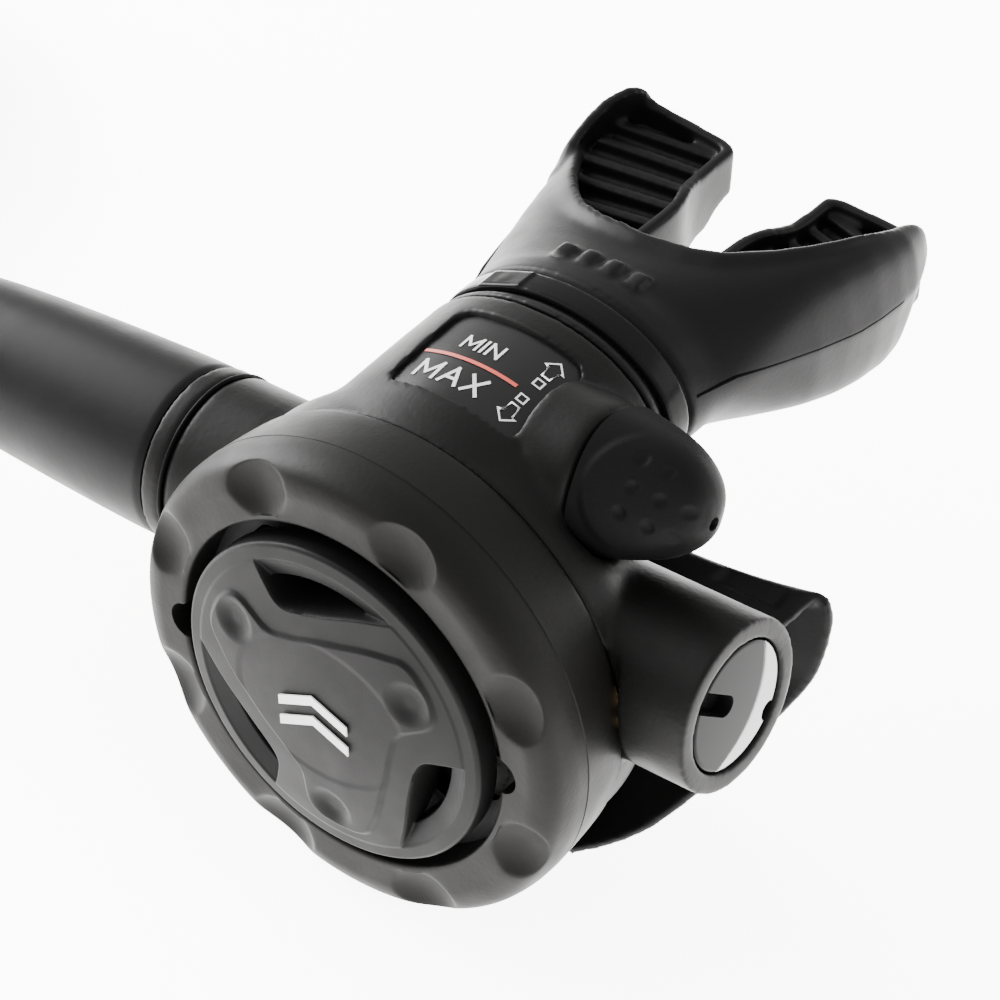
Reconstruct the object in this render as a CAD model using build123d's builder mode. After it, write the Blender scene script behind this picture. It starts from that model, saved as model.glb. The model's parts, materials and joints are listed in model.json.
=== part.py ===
"""A scuba regulator's second stage with its low-pressure hose, as separate pieces at real size.

Frame: millimetres, +Z up, floor at z = 0. The round can faces -Y, the mouthpiece points +Y, the
hose leaves towards -X and the venturi knob is on the +X side. The origin is on the floor under
the middle of the second stage. Depths are counted from the cover ring's front face towards +Y,
and heights from the can's axis.
"""

import os
from math import cos, pi, radians, sin

from build123d import *

os.makedirs("parts", exist_ok=True)

# Driving dimensions
CAN_Z = 37.0  # height of the can's axis above the floor
FRONT_Y = -49.4  # cover ring's front face
RING_R = 37.0  # cover ring's widest radius, which stands on the floor
APERTURE_R = 28.0  # round opening in the cover ring
RING_DEPTH = 17.0
LIP_DEPTH = 5.7  # back of the ring's inward lip
CAN_R = 35.3  # can behind the ring
THREAD_R = 32.8  # case thread inside the ring
CAN_BACK = 36.0  # depth of the can's back wall
ARM = 48.0  # both barrel arms end this far from the middle
TUBE_DEPTH = 26.9  # depth and height of the air barrel's axis
TUBE_HEIGHT = 3.4
TUBE_R = 13.0
ARM_R = 13.5
CAP_R = 10.07  # open right end of the barrel housing
BARREL_R = 8.5
BARREL_BORE = 6.3
NECK_RIM = 46.5  # depth where the mouthpiece starts
NECK_HEIGHT = 23.8
NECK_HALF = (20.5, 14.3)
SPIGOT_HALF = (17.6, 11.4)
KNOB_DEPTH = 33.4
KNOB_HEIGHT = 27.1
KNOB_R = 10.3
KNOB_BASE = 22.2
KNOB_LEAN = 32.0  # the knob's broad direction leans this far back from upright
PORT_HEIGHT = -17.0  # exhaust port
PORT_R = 11.0
MOUTH_END = 104.0  # depth of the mouthpiece's tips
HOSE_R = 5.75
HOSE_START = -64.0
SLEEVE_END = -118.0
COIL_R = 54.0  # middle of the put-away turns
COIL_X = -229.5
COIL_LIFT = 0.8  # the tie passes under the turns
FIT = 0.05  # radial gap of a running fit
GAP = 0.3


def at_depth(depth):
    """A sketch plane across the can's axis: x to the right, y up from that axis."""
    return Plane((0, FRONT_Y + depth, CAN_Z), x_dir=(1, 0, 0), z_dir=(0, -1, 0))


def across(x, depth, height):
    """A sketch plane across X, seen from +X: its x runs to the mouthpiece and its y runs up."""
    return Plane((x, FRONT_Y + depth, CAN_Z + height), x_dir=(0, 1, 0), z_dir=(1, 0, 0))


def tube_profile(low, high, r_in, r_out):
    return [(low, r_in), (high, r_in), (high, r_out), (low, r_out)]


def swapped(points):
    """The same outline with radius first, for turning about the can's axis."""
    return [(r, along) for along, r in points]


def save(builder, name):
    builder.part.label = name
    export_step(builder.part, f"parts/{name}.step")


CAN_AXIS = Axis((0, FRONT_Y, CAN_Z), (0, 1, 0))
CAN_PROFILE = Plane((0, FRONT_Y, CAN_Z), x_dir=(1, 0, 0), z_dir=(0, 0, 1))
TUBE_Y = FRONT_Y + TUBE_DEPTH
TUBE_Z = CAN_Z + TUBE_HEIGHT
TUBE_AXIS = Axis((0, TUBE_Y, TUBE_Z), (1, 0, 0))
TUBE_PROFILE = Plane((0, TUBE_Y, TUBE_Z), x_dir=(1, 0, 0), z_dir=(0, 0, 1))
KNOB_AXIS = Axis((0, FRONT_Y + KNOB_DEPTH, CAN_Z + KNOB_HEIGHT), (1, 0, 0))
KNOB_PROFILE = Plane(
    (0, FRONT_Y + KNOB_DEPTH, CAN_Z + KNOB_HEIGHT), x_dir=(1, 0, 0), z_dir=(0, 0, 1)
)
PORT_AXIS = Axis((0, FRONT_Y, CAN_Z + PORT_HEIGHT), (0, 1, 0))
PORT_PROFILE = Plane((0, FRONT_Y, CAN_Z + PORT_HEIGHT), x_dir=(1, 0, 0), z_dir=(0, 0, 1))


def oval(depth, height, half_width, half_height):
    with BuildSketch(at_depth(depth)) as section:
        with Locations((0, height)):
            Ellipse(half_width, half_height)
    return section.sketch


def neck_shape(inset):
    """The case's neck, from inside the can to the mouthpiece rim, inset from its outside."""
    stations = [
        (15.0, 15.5, 24.5, 19.2), (30.0, 21.6, 21.4, 15.9), (NECK_RIM, NECK_HEIGHT, *NECK_HALF),
    ]
    with BuildPart() as shape:
        loft([oval(d, h, a - inset, b - inset) for d, h, a, b in stations])
    return shape.part


LABEL_DEPTH = 33.6
LABEL_SIZE = (22.0, 17.0)


def label_prism(grow):
    with BuildPart() as prism:
        with BuildSketch(Plane.XY.offset(CAN_Z + KNOB_HEIGHT)):
            with Locations((1.0, FRONT_Y + LABEL_DEPTH)):
                RectangleRounded(LABEL_SIZE[0] + 2 * grow, LABEL_SIZE[1] + 2 * grow, 2.4 + grow)
        extrude(amount=14)
    return prism.part


NECK = neck_shape(0)
LABEL_SHEET = neck_shape(0.9) - neck_shape(1.6)
POCKET = (neck_shape(-4.0) - neck_shape(1.6)) & label_prism(0)
NECK_AIRWAY = neck_shape(3.0)

# Housing

with BuildPart() as case:
    with BuildSketch(CAN_PROFILE):
        Polygon(
            (0, 9.0), (THREAD_R, 9.0), (THREAD_R, RING_DEPTH + GAP), (CAN_R, RING_DEPTH + GAP),
            (CAN_R, 22.5), (33.4, 28.5), (29.6, 33.2), (25.0, CAN_BACK), (0, CAN_BACK), align=None,
        )
    revolve(axis=CAN_AXIS)
    with BuildSketch(TUBE_PROFILE):
        Polygon(*tube_profile(-ARM, -28, 0, ARM_R), align=None)
        Polygon(*tube_profile(-30, ARM, 0, TUBE_R), align=None)
    revolve(axis=TUBE_AXIS)
    with BuildSketch(KNOB_PROFILE):
        Polygon(*tube_profile(11.5, KNOB_BASE - GAP, 0, KNOB_R), align=None)
    revolve(axis=KNOB_AXIS)
    with BuildSketch(PORT_PROFILE):
        Polygon(*swapped(tube_profile(30, 38, 0, PORT_R + 2.5)), align=None)
    revolve(axis=PORT_AXIS)
    add(NECK)
    extrude(oval(59, NECK_HEIGHT, *SPIGOT_HALF), amount=14)
    add(POCKET, mode=Mode.SUBTRACT)
    with BuildSketch(CAN_PROFILE):
        Polygon(*swapped(tube_profile(-1, RING_DEPTH + GAP, THREAD_R, RING_R + GAP)), align=None)
    revolve(axis=CAN_AXIS, mode=Mode.SUBTRACT)
    with BuildSketch(KNOB_PROFILE):
        Polygon(*tube_profile(KNOB_BASE - GAP, 50, 0, KNOB_R + 0.5), align=None)
    revolve(axis=KNOB_AXIS, mode=Mode.SUBTRACT)
    with BuildSketch(CAN_PROFILE):
        Polygon(
            (0, 8), (31.2, 8), (31.2, 11.4), (28.5, 11.4), (28.5, 14.5), (32.3, 18.5),
            (32.3, 21.8), (30.6, 27.3), (27.5, 31), (23.5, 33.4), (0, 33.4), align=None,
        )
    revolve(axis=CAN_AXIS, mode=Mode.SUBTRACT)
    with BuildSketch(TUBE_PROFILE):
        Polygon(*tube_profile(-ARM - 1, ARM + 1, 0, BARREL_R + FIT), align=None)
        Polygon(*tube_profile(-ARM - 1, -44.2, 0, 12.0), align=None)
        Polygon(*tube_profile(33, ARM + 1, 0, CAP_R), align=None)
        Polygon(*tube_profile(-45.0, -43.6, 12.85, 14), align=None)
        Polygon(*tube_profile(-41.2, -40.8, 13.1, 14), align=None)
    revolve(axis=TUBE_AXIS, mode=Mode.SUBTRACT)
    with BuildSketch(KNOB_PROFILE):
        Polygon(*tube_profile(-2, 30, 0, 4.0), align=None)
        Polygon(*tube_profile(-2, 12, 0, 9.6), align=None)
    revolve(axis=KNOB_AXIS, mode=Mode.SUBTRACT)
    add(NECK_AIRWAY, mode=Mode.SUBTRACT)
    extrude(oval(62, NECK_HEIGHT, SPIGOT_HALF[0] - 2, SPIGOT_HALF[1] - 2), amount=20, mode=Mode.SUBTRACT)
    with BuildSketch(PORT_PROFILE):
        Polygon(*swapped(tube_profile(32, 40, 0, PORT_R)), align=None)
    revolve(axis=PORT_AXIS, mode=Mode.SUBTRACT)
    with BuildSketch(at_depth(9.0)):
        with Locations((0, -THREAD_R)):
            Rectangle(4, 2)
    extrude(amount=-4, mode=Mode.SUBTRACT)
save(case, "case")

with BuildPart() as label_plate:
    add(LABEL_SHEET & label_prism(-0.1))
save(label_plate, "label_plate")

LABEL_INK = neck_shape(0.75) - neck_shape(0.9)

with BuildPart() as label_stripe:
    with BuildSketch(Plane.XY.offset(CAN_Z + KNOB_HEIGHT)):
        with Locations((-1.6, FRONT_Y + LABEL_DEPTH)):
            Rectangle(14.0, 0.6)
    extrude(amount=14)
    add(LABEL_INK, mode=Mode.INTERSECT)
save(label_stripe, "label_stripe")

with BuildPart() as label_arrows:
    with BuildSketch(Plane.XY.offset(CAN_Z + KNOB_HEIGHT)):
        for side in (1, -1):
            with Locations((8.6, FRONT_Y + LABEL_DEPTH + side * 3.6)):
                Rectangle(1.5, 3.0)
            with Locations((8.6, FRONT_Y + LABEL_DEPTH + side * 6.0)):
                Triangle(a=3.4, B=45, C=45, rotation=0 if side > 0 else 180)
    extrude(amount=14)
    add(LABEL_INK, mode=Mode.INTERSECT)
save(label_arrows, "label_arrows")

with BuildPart() as cover_ring:
    with BuildSketch(CAN_PROFILE):
        with BuildLine():
            Polyline((APERTURE_R, 1.2), (APERTURE_R, LIP_DEPTH), (THREAD_R + GAP, LIP_DEPTH))
            Polyline((THREAD_R + GAP, LIP_DEPTH), (THREAD_R + GAP, RING_DEPTH), (35.6, RING_DEPTH))
            Polyline((35.6, RING_DEPTH), (36.2, 15.8), (RING_R, 7.8))
            Spline((RING_R, 7.8), (36.3, 3.8), (33.2, 0.0), tangents=((0, -1), (-1, -0.02)))
            Line((33.2, 0.0), (APERTURE_R + 1.2, 0.0))
            RadiusArc((APERTURE_R + 1.2, 0.0), (APERTURE_R, 1.2), 1.2)
        make_face()
    revolve(axis=CAN_AXIS)
    with BuildSketch(at_depth(-1)):
        with PolarLocations(APERTURE_R, 2):
            Circle(2.6)
    extrude(amount=-12, mode=Mode.SUBTRACT)
    with BuildPart(at_depth(-6.0), mode=Mode.SUBTRACT):
        with PolarLocations(34.6, 8, start_angle=22.5):
            Sphere(8.5)
save(cover_ring, "cover_ring")

with BuildPart() as diaphragm_cover:
    with BuildSketch(at_depth(6.0)):
        Circle(THREAD_R - 2)
        Circle(5.0, mode=Mode.SUBTRACT)
        with PolarLocations(13.0, 6):
            SlotOverall(9.0, 4.2, mode=Mode.SUBTRACT)
        with PolarLocations(23.0, 9, start_angle=20):
            SlotOverall(9.0, 4.2, rotation=90, mode=Mode.SUBTRACT)
    extrude(amount=-1.2)
    with BuildSketch(at_depth(7.2)):
        Circle(THREAD_R - 2)
        Circle(27.6, mode=Mode.SUBTRACT)
    extrude(amount=-1.4)
save(diaphragm_cover, "diaphragm_cover")

with BuildPart() as friction_ring:
    with BuildSketch(CAN_PROFILE):
        Polygon(*swapped(tube_profile(8.65, 9.1, 28.0, 31.0)), align=None)
    revolve(axis=CAN_AXIS)
save(friction_ring, "friction_ring")

with BuildPart() as diaphragm:
    with BuildSketch(CAN_PROFILE):
        Polygon(
            (0, 10.4), (18.5, 10.4), (21.5, 12.6), (24.0, 12.6), (26.8, 10.2), (28.4, 9.2),
            (31.0, 9.2), (31.0, 11.3), (28.6, 11.3), (27.4, 11.0), (24.4, 13.4), (21.1, 13.4),
            (18.1, 11.1), (0, 11.1), align=None,
        )
    revolve(axis=CAN_AXIS)
save(diaphragm, "diaphragm")

with BuildPart() as diaphragm_disc:
    with BuildSketch(at_depth(9.3)):
        Circle(17.0)
        with PolarLocations(11.5, 6):
            Circle(2.0, mode=Mode.SUBTRACT)
    extrude(amount=-1.0)
save(diaphragm_disc, "diaphragm_disc")

# Purge button

ARM_REACH = 16.6  # middle of each of the button's three arms

with BuildPart() as purge_button:
    with BuildSketch(CAN_PROFILE):
        with BuildLine():
            Spline((0, -4.0), (14, -3.5), (25.0, -1.8), tangents=((1, 0), (1, 0.28)))
            RadiusArc((25.0, -1.8), (25.7, -0.9), -1.0)
            Polyline((25.7, -0.9), (25.7, 2.0), (24.3, 2.0), (24.3, 0.0), (3.6, -1.4))
            Polyline((3.6, -1.4), (3.6, 9.0), (0, 9.0), (0, -4.0))
        make_face()
    revolve(axis=CAN_AXIS)
    with BuildSketch(at_depth(-1.6)):
        Circle(9.5)
        with PolarLocations(ARM_REACH / 2, 3, start_angle=30):
            Rectangle(ARM_REACH, 10.0)
        with PolarLocations(ARM_REACH, 3, start_angle=30):
            Circle(5.0)
    extrude(amount=3.4)
    with BuildSketch(at_depth(-8)):
        with PolarLocations(18.3, 3, start_angle=90):
            SlotOverall(21, 3.6, rotation=90)
    extrude(amount=-8.6, mode=Mode.SUBTRACT)
    with BuildPart(at_depth(-8.6), mode=Mode.SUBTRACT):
        with PolarLocations(17.0, 3, start_angle=30):
            Sphere(5.0)
    fillet(purge_button.faces().filter_by(Axis.Y).sort_by(Axis.Y)[0].outer_wire().edges(), 0.8)
save(purge_button, "purge_button")

with BuildPart() as purge_mark:
    with BuildSketch(at_depth(-5.0)):
        for shift in (-2.8, 0.8):
            with Locations((-0.6, shift)):
                Polygon((-6, 0), (0, 2.6), (6, 0), (6, -1.6), (0, 1.0), (-6, -1.6), align=None)
    extrude(amount=0.25)
save(purge_mark, "purge_mark")

SPRING_LENGTH = 5.4
with BuildPart() as purge_spring:
    with BuildLine():
        turns = Helix(
            pitch=1.8, height=SPRING_LENGTH, radius=7.5,
            center=(0, FRONT_Y - 0.1, CAN_Z), direction=(0, 1, 0),
        )
    with BuildSketch(Plane(origin=turns @ 0, z_dir=turns % 0)):
        Circle(0.35)
    sweep(path=turns, is_frenet=True)
save(purge_spring, "purge_spring")

# Air barrel and valve

with BuildPart() as valve_barrel:
    with BuildSketch(TUBE_PROFILE):
        Polygon(
            (-44.0, BARREL_BORE), (16.0, BARREL_BORE), (16.0, 2.9), (18.5, 2.9), (18.5, BARREL_BORE),
            (39.5, BARREL_BORE), (39.5, 7.2), (33.2, 7.2), (33.2, BARREL_R), (-44.0, BARREL_R), align=None,
        )
    revolve(axis=TUBE_AXIS)
    with BuildSketch(across(19.8, TUBE_DEPTH, TUBE_HEIGHT)):
        with Locations((-6, 0)):
            Rectangle(12, 11.6)
    extrude(amount=6.4, mode=Mode.SUBTRACT)
    with BuildSketch(Plane.XY.offset(TUBE_Z)):
        with Locations((-6, TUBE_Y)):
            SlotOverall(14, 6)
    extrude(amount=12, mode=Mode.SUBTRACT)
save(valve_barrel, "valve_barrel")

with BuildPart() as inlet_fitting:
    with BuildSketch(TUBE_PROFILE):
        Polygon(
            (-57.5, 4.6), (-44.3, 4.6), (-44.3, 11.6), (-48.0, 11.6), (-48.0, 7.1), (-57.5, 7.1), align=None,
        )
    revolve(axis=TUBE_AXIS)
save(inlet_fitting, "inlet_fitting")

with BuildPart() as orifice:
    with BuildSketch(TUBE_PROFILE):
        Polygon(
            (-43.9, 2.6), (-35.4, 2.6), (-35.0, 2.9), (-35.6, 3.4), (-37.0, 6.24), (-39.4, 6.24),
            (-39.4, 5.2), (-40.8, 5.2), (-40.8, 6.24), (-43.9, 6.24), align=None,
        )
    revolve(axis=TUBE_AXIS)
save(orifice, "orifice")


def o_ring(name, axis, profile, along, r_middle, r_section, turned=False):
    with BuildPart() as ring:
        with BuildSketch(profile):
            with Locations((r_middle, along) if turned else (along, r_middle)):
                Circle(r_section)
        revolve(axis=axis)
    save(ring, name)


o_ring("orifice_o_ring", TUBE_AXIS, TUBE_PROFILE, -40.1, 5.74, 0.5)
o_ring("arm_o_ring", TUBE_AXIS, TUBE_PROFILE, -44.3, 13.32, 0.4)
o_ring("inlet_o_ring", TUBE_AXIS, TUBE_PROFILE, -48.75, 8.2, 0.6)

SEAT_X = -34.6
with BuildPart() as poppet:
    with BuildSketch(TUBE_PROFILE):
        Polygon(
            (SEAT_X + 1.4, 0), (SEAT_X + 1.4, 4.25), (SEAT_X + 0.2, 4.25), (SEAT_X + 0.2, 6.2), (-27.5, 6.2),
            (-26.5, 2.4), (30.5, 2.4), (30.5, 0), align=None,
        )
    revolve(axis=TUBE_AXIS)
    with BuildSketch(across(-36, TUBE_DEPTH, TUBE_HEIGHT)):
        with PolarLocations(6.8, 4):
            Circle(1.4)
    extrude(amount=10, mode=Mode.SUBTRACT)
save(poppet, "poppet")

with BuildPart() as poppet_seat:
    with BuildSketch(TUBE_PROFILE):
        Polygon(*tube_profile(SEAT_X, SEAT_X + 1.35, 0, 4.2), align=None)
    revolve(axis=TUBE_AXIS)
save(poppet_seat, "poppet_seat")

with BuildPart() as poppet_spring:
    with BuildLine():
        turns = Helix(
            pitch=4.2, height=41.0, radius=4.6, center=(-25.8, TUBE_Y, TUBE_Z), direction=(1, 0, 0)
        )
    with BuildSketch(Plane(origin=turns @ 0, z_dir=turns % 0)):
        Circle(0.45)
    sweep(path=turns, is_frenet=True)
save(poppet_spring, "poppet_spring")

LEG_RIGHT = 23.4
with BuildPart() as lever_washer:
    with BuildSketch(TUBE_PROFILE):
        Polygon(*tube_profile(LEG_RIGHT + GAP, LEG_RIGHT + GAP + 1.0, 2.4, 6.1), align=None)
    revolve(axis=TUBE_AXIS)
save(lever_washer, "lever_washer")

with BuildPart() as lock_nut:
    with BuildSketch(across(LEG_RIGHT + GAP + 1.1, TUBE_DEPTH, TUBE_HEIGHT)):
        RegularPolygon(4.6, 6)
        Circle(2.4, mode=Mode.SUBTRACT)
    extrude(amount=3.6)
save(lock_nut, "lock_nut")

with BuildPart() as demand_lever:
    with BuildSketch(Plane.XY.offset(TUBE_Z - 3.0)):
        Polygon(
            (LEG_RIGHT, FRONT_Y + 17.4), (LEG_RIGHT, FRONT_Y + 18.3), (21.0, FRONT_Y + 18.3),
            (19.5, FRONT_Y + 17.6), (2.5, FRONT_Y + 13.2), (-1.5, FRONT_Y + 12.5), (-1.5, FRONT_Y + 11.6),
            (3.0, FRONT_Y + 12.3), (20.0, FRONT_Y + 16.8), (21.0, FRONT_Y + 17.4), align=None,
        )
    extrude(amount=6.0)
    with BuildSketch(Plane.XY.offset(TUBE_Z)):
        with Locations((22.1, FRONT_Y + 17.8)):
            Rectangle(2.6, 0.9)
        with Locations((22.0, FRONT_Y + 17.8)):
            Circle(0.55)
    extrude(amount=5.4, both=True)
    for side in (-1, 1):
        with BuildSketch(Plane.XY.offset(TUBE_Z + side * 4.4)):
            with Locations((22.6, FRONT_Y + 22.7)):
                Rectangle(1.6, 9.8)
        extrude(amount=0.9, both=True)
save(demand_lever, "demand_lever")

with BuildPart() as barrel_nut:
    with BuildSketch(across(33.3, TUBE_DEPTH, TUBE_HEIGHT)):
        Circle(9.8)
        Circle(7.2 + FIT, mode=Mode.SUBTRACT)
        with PolarLocations(9.8, 4):
            Rectangle(2.4, 2.4, mode=Mode.SUBTRACT)
    extrude(amount=4.4)
save(barrel_nut, "barrel_nut")

with BuildPart() as barrel_end_plug:
    with BuildSketch(TUBE_PROFILE):
        with BuildLine():
            Polyline((47.6, 0), (43.6, 0), (43.6, 8.2), (40.2, 8.2), (40.2, 10.0), (46.0, 10.0))
            ThreePointArc((46.0, 10.0), (47.2, 5.2), (47.6, 0))
        make_face()
        Polygon(*tube_profile(41.6, 43.0, 9.2, 11), align=None, mode=Mode.SUBTRACT)
    revolve(axis=TUBE_AXIS)
    with BuildSketch(across(45.0, TUBE_DEPTH, TUBE_HEIGHT)):
        with PolarLocations(8.2, 2, start_angle=135):
            SlotOverall(6.4, 2.8)
    extrude(amount=4, mode=Mode.SUBTRACT)
save(barrel_end_plug, "barrel_end_plug")
o_ring("plug_o_ring", TUBE_AXIS, TUBE_PROFILE, 42.3, 9.65, 0.42)

# Venturi control

with BuildPart() as venturi_shaft:
    with BuildSketch(KNOB_PROFILE):
        Polygon(
            (-14.5, 0), (-14.5, 1.8), (13.0, 1.8), (13.0, 3.95), (15.4, 3.95), (15.4, 3.1),
            (17.0, 3.1), (17.0, 3.95), (24.0, 3.95), (24.0, 2.8), (30.0, 2.8), (30.0, 0), align=None,
        )
    revolve(axis=KNOB_AXIS)
save(venturi_shaft, "venturi_shaft")
o_ring("shaft_o_ring", KNOB_AXIS, KNOB_PROFILE, 16.2, 3.54, 0.42)

with BuildPart() as venturi_vane:
    with BuildSketch(across(-9.0, KNOB_DEPTH, KNOB_HEIGHT)):
        Rectangle(1.4, 10.4)
        Circle(2.9)
        Circle(1.8, mode=Mode.SUBTRACT)
    extrude(amount=19.0)
save(venturi_vane, "venturi_vane")

KNOB_STATIONS = [
    (KNOB_BASE, 10.3, 10.3), (27.0, 10.0, 9.0), (33.0, 9.0, 7.0), (37.5, 7.4, 5.0), (40.6, 4.2, 2.6),
]
with BuildPart() as venturi_knob:
    for x, broad, thin in KNOB_STATIONS:
        with BuildSketch(across(x, KNOB_DEPTH, KNOB_HEIGHT)):
            Ellipse(broad, thin, rotation=90 - KNOB_LEAN)
    loft()
    with BuildSketch(KNOB_PROFILE):
        Polygon(*tube_profile(KNOB_BASE - 1, 24.1, 0, 4.0), align=None)
        Polygon(*tube_profile(KNOB_BASE - 1, 30.2, 0, 2.85), align=None)
    revolve(axis=KNOB_AXIS, mode=Mode.SUBTRACT)
    with BuildSketch(across(36.0, KNOB_DEPTH, KNOB_HEIGHT)):
        Circle(1.0)
    extrude(amount=8, mode=Mode.SUBTRACT)
    with BuildSketch(KNOB_PROFILE):
        Polygon(*tube_profile(30.1, 37, 0, 1.55), align=None)
    revolve(axis=KNOB_AXIS, mode=Mode.SUBTRACT)
save(venturi_knob, "venturi_knob")

with BuildPart() as knob_screw:
    with BuildSketch(KNOB_PROFILE):
        Polygon((30.2, 0), (30.2, 1.5), (36.0, 1.5), (36.0, 0), align=None)
    revolve(axis=KNOB_AXIS)
save(knob_screw, "knob_screw")

# Exhaust

with BuildPart() as exhaust_seat:
    with BuildSketch(at_depth(36.4)):
        with Locations((0, PORT_HEIGHT)):
            Circle(PORT_R - FIT)
            Circle(PORT_R - 1.6, mode=Mode.SUBTRACT)
            Circle(2.4)
            for turn in (0, 60, 120):
                Rectangle(2 * PORT_R - 2, 1.4, rotation=turn)
            Circle(1.3, mode=Mode.SUBTRACT)
    extrude(amount=-1.6)
save(exhaust_seat, "exhaust_seat")

with BuildPart() as exhaust_valve:
    with BuildSketch(PORT_PROFILE):
        Polygon(
            (0, 33.6), (1.9, 34.8), (1.9, 35.8), (1.2, 36.2), (1.2, 38.1), (13.0, 38.1), (13.0, 38.5),
            (0, 39.2), align=None,
        )
    revolve(axis=PORT_AXIS)
save(exhaust_valve, "exhaust_valve")

TEE_WALL = 1.6
TEE_BACK = 50.0
with BuildPart() as exhaust_tee:
    with BuildSketch(across(0, 0, 0)):
        with BuildLine():
            Polyline((41.0, 1.5), (41.0, 7.0), (TEE_BACK - 1, 7.0))
            Spline(
                (TEE_BACK - 1, 7.0), (TEE_BACK, 0.0), (47.8, -15), (41.5, -27.6), (33, -34.6), (24, -37.0),
                tangents=((1, -0.4), (-1, -0.1)),
            )
            Polyline((24, -37.0), (24, -35.9), (29.5, -34.3), (35.4, -29.8), (37.0, -25.5))
            Polyline((37.0, -25.5), (37.0, -6.2), (39.8, -2.8), (41.0, 1.5))
        make_face()
    extrude(amount=50, both=True)
    with BuildSketch(at_depth(20)):
        with BuildLine():
            Spline((48, 8), (46.6, -3), (42.2, -14), (34, -27), (27, -34), (18, -38))
            Line((18, -38), (-18, -38))
            Spline((-18, -38), (-24.6, -33), (-30, -25), (-33.8, -14), (-35.4, -3), (-36, 3))
            Polyline((-36, 3), (-30.5, 3), (-28, 8), (48, 8))
        make_face()
    extrude(amount=-32, mode=Mode.INTERSECT)
    with BuildSketch(across(0, 0, 0)):
        with BuildLine():
            Polyline((42.6, 1.8), (42.6, 7.0 - TEE_WALL), (TEE_BACK - 2, 7.0 - TEE_WALL))
            Spline(
                (TEE_BACK - 2, 7.0 - TEE_WALL), (TEE_BACK - TEE_WALL, 0.0), (46.2, -14.4), (39.4, -27.4),
                tangents=((1, -0.8), (-1, -1.2)),
            )
            Polyline((39.4, -27.4), (38.6, -25.5), (38.6, -6.6), (40.6, -3.2), (42.6, 1.8))
        make_face()
    extrude(amount=60, both=True, mode=Mode.SUBTRACT)
    with BuildSketch(PORT_PROFILE):
        Polygon(*swapped(tube_profile(30, 39.5, 0, PORT_R + 2.5 + FIT)), align=None)
    revolve(axis=PORT_AXIS, mode=Mode.SUBTRACT)
    with BuildSketch(at_depth(30)):
        with Locations((41, -22), (-41, -22)):
            Rectangle(26, 28)
    extrude(amount=-9.5, mode=Mode.SUBTRACT)
save(exhaust_tee, "exhaust_tee")

# Mouthpiece

SLEEVE_STATIONS = [
    (NECK_RIM + GAP, 20.3, 14.2), (48.6, 20.0, 13.9), (49.0, 19.2, 13.1), (54.2, 19.2, 13.1),
    (54.7, 20.3, 14.2), (58.0, 21.6, 14.0),
]
BODY_STATIONS = [
    (58.0, 21.6, 14.0), (70.0, 25.4, 13.0), (82.0, 28.0, 12.6), (93.0, 29.0, 11.4), (MOUTH_END, 27.6, 8.6),
]


def oval_loft(stations, ruled=False):
    with BuildPart() as shape:
        loft([oval(d, NECK_HEIGHT, a, b) for d, a, b in stations], ruled=ruled)
    return shape.part


MOUTH_SLEEVE = oval_loft(SLEEVE_STATIONS, ruled=True)
MOUTH_BODY = oval_loft(BODY_STATIONS)

with BuildPart() as mouthpiece:
    add(MOUTH_SLEEVE)
    add(MOUTH_BODY)
    with BuildSketch(Plane.XY.offset(CAN_Z)):
        with BuildLine():
            bend = Spline(
                (0, FRONT_Y + 70), (11, FRONT_Y + 72.5), (20, FRONT_Y + 80), (25.4, FRONT_Y + 93),
                (25.8, FRONT_Y + 108), tangents=((1, 0), (0, 1)),
            )
            Line((25.8, FRONT_Y + 108), (-25.8, FRONT_Y + 108))
            mirror(bend, about=Plane.YZ)
        make_face()
    extrude(amount=60, mode=Mode.SUBTRACT)
    for side in (-1, 1):
        with BuildSketch(Plane.XY.offset(CAN_Z + NECK_HEIGHT)):
            with Locations((side * 18.4, FRONT_Y + 93)):
                RectangleRounded(15.6, 20, 3)
        extrude(amount=1.5, both=True)
        with BuildSketch(Plane.XY.offset(CAN_Z + NECK_HEIGHT)):
            with Locations((side * 11.6, FRONT_Y + 93)):
                RectangleRounded(2.0, 18, 0.9)
        extrude(amount=5.0, both=True)
        with BuildSketch(at_depth(90)):
            with Locations((side * 23, NECK_HEIGHT)):
                Rectangle(6, 2.6)
        extrude(amount=14)
    extrude(oval(80, NECK_HEIGHT, 15.2, 8.6), amount=40, mode=Mode.SUBTRACT)
    spigot_hole = oval(59.5, NECK_HEIGHT, SPIGOT_HALF[0] + FIT, SPIGOT_HALF[1] + FIT)
    extrude(spigot_hole, amount=14, mode=Mode.SUBTRACT)
save(mouthpiece, "mouthpiece")

with BuildPart() as mouthpiece_clamp:
    with BuildSketch(at_depth(49.2)):
        with Locations((0, NECK_HEIGHT)):
            Ellipse(20.5, 14.4)
            Ellipse(19.3, 13.2, mode=Mode.SUBTRACT)
    extrude(amount=-4.7)
    with BuildSketch(at_depth(48.9)):
        with Locations(Location((-18.1, NECK_HEIGHT - 7.5, 0), (0, 0, 1), -50.6)):
            Rectangle(6.4, 3.6)
    extrude(amount=-5.3)
    extrude(oval(48, NECK_HEIGHT, 19.3, 13.2), amount=-8, mode=Mode.SUBTRACT)
save(mouthpiece_clamp, "mouthpiece_clamp")

# Hose and its fittings

with BuildPart() as hose_nut:
    with BuildSketch(across(-61.0, TUBE_DEPTH, TUBE_HEIGHT)):
        RegularPolygon(9.8, 6)
    extrude(amount=11.4)
    with BuildSketch(TUBE_PROFILE):
        Polygon(*tube_profile(-58.9, -49, 0, 7.1 + FIT), align=None)
        Polygon(*tube_profile(-62, -58, 0, 4.9), align=None)
    revolve(axis=TUBE_AXIS, mode=Mode.SUBTRACT)
save(hose_nut, "hose_nut")

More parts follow.
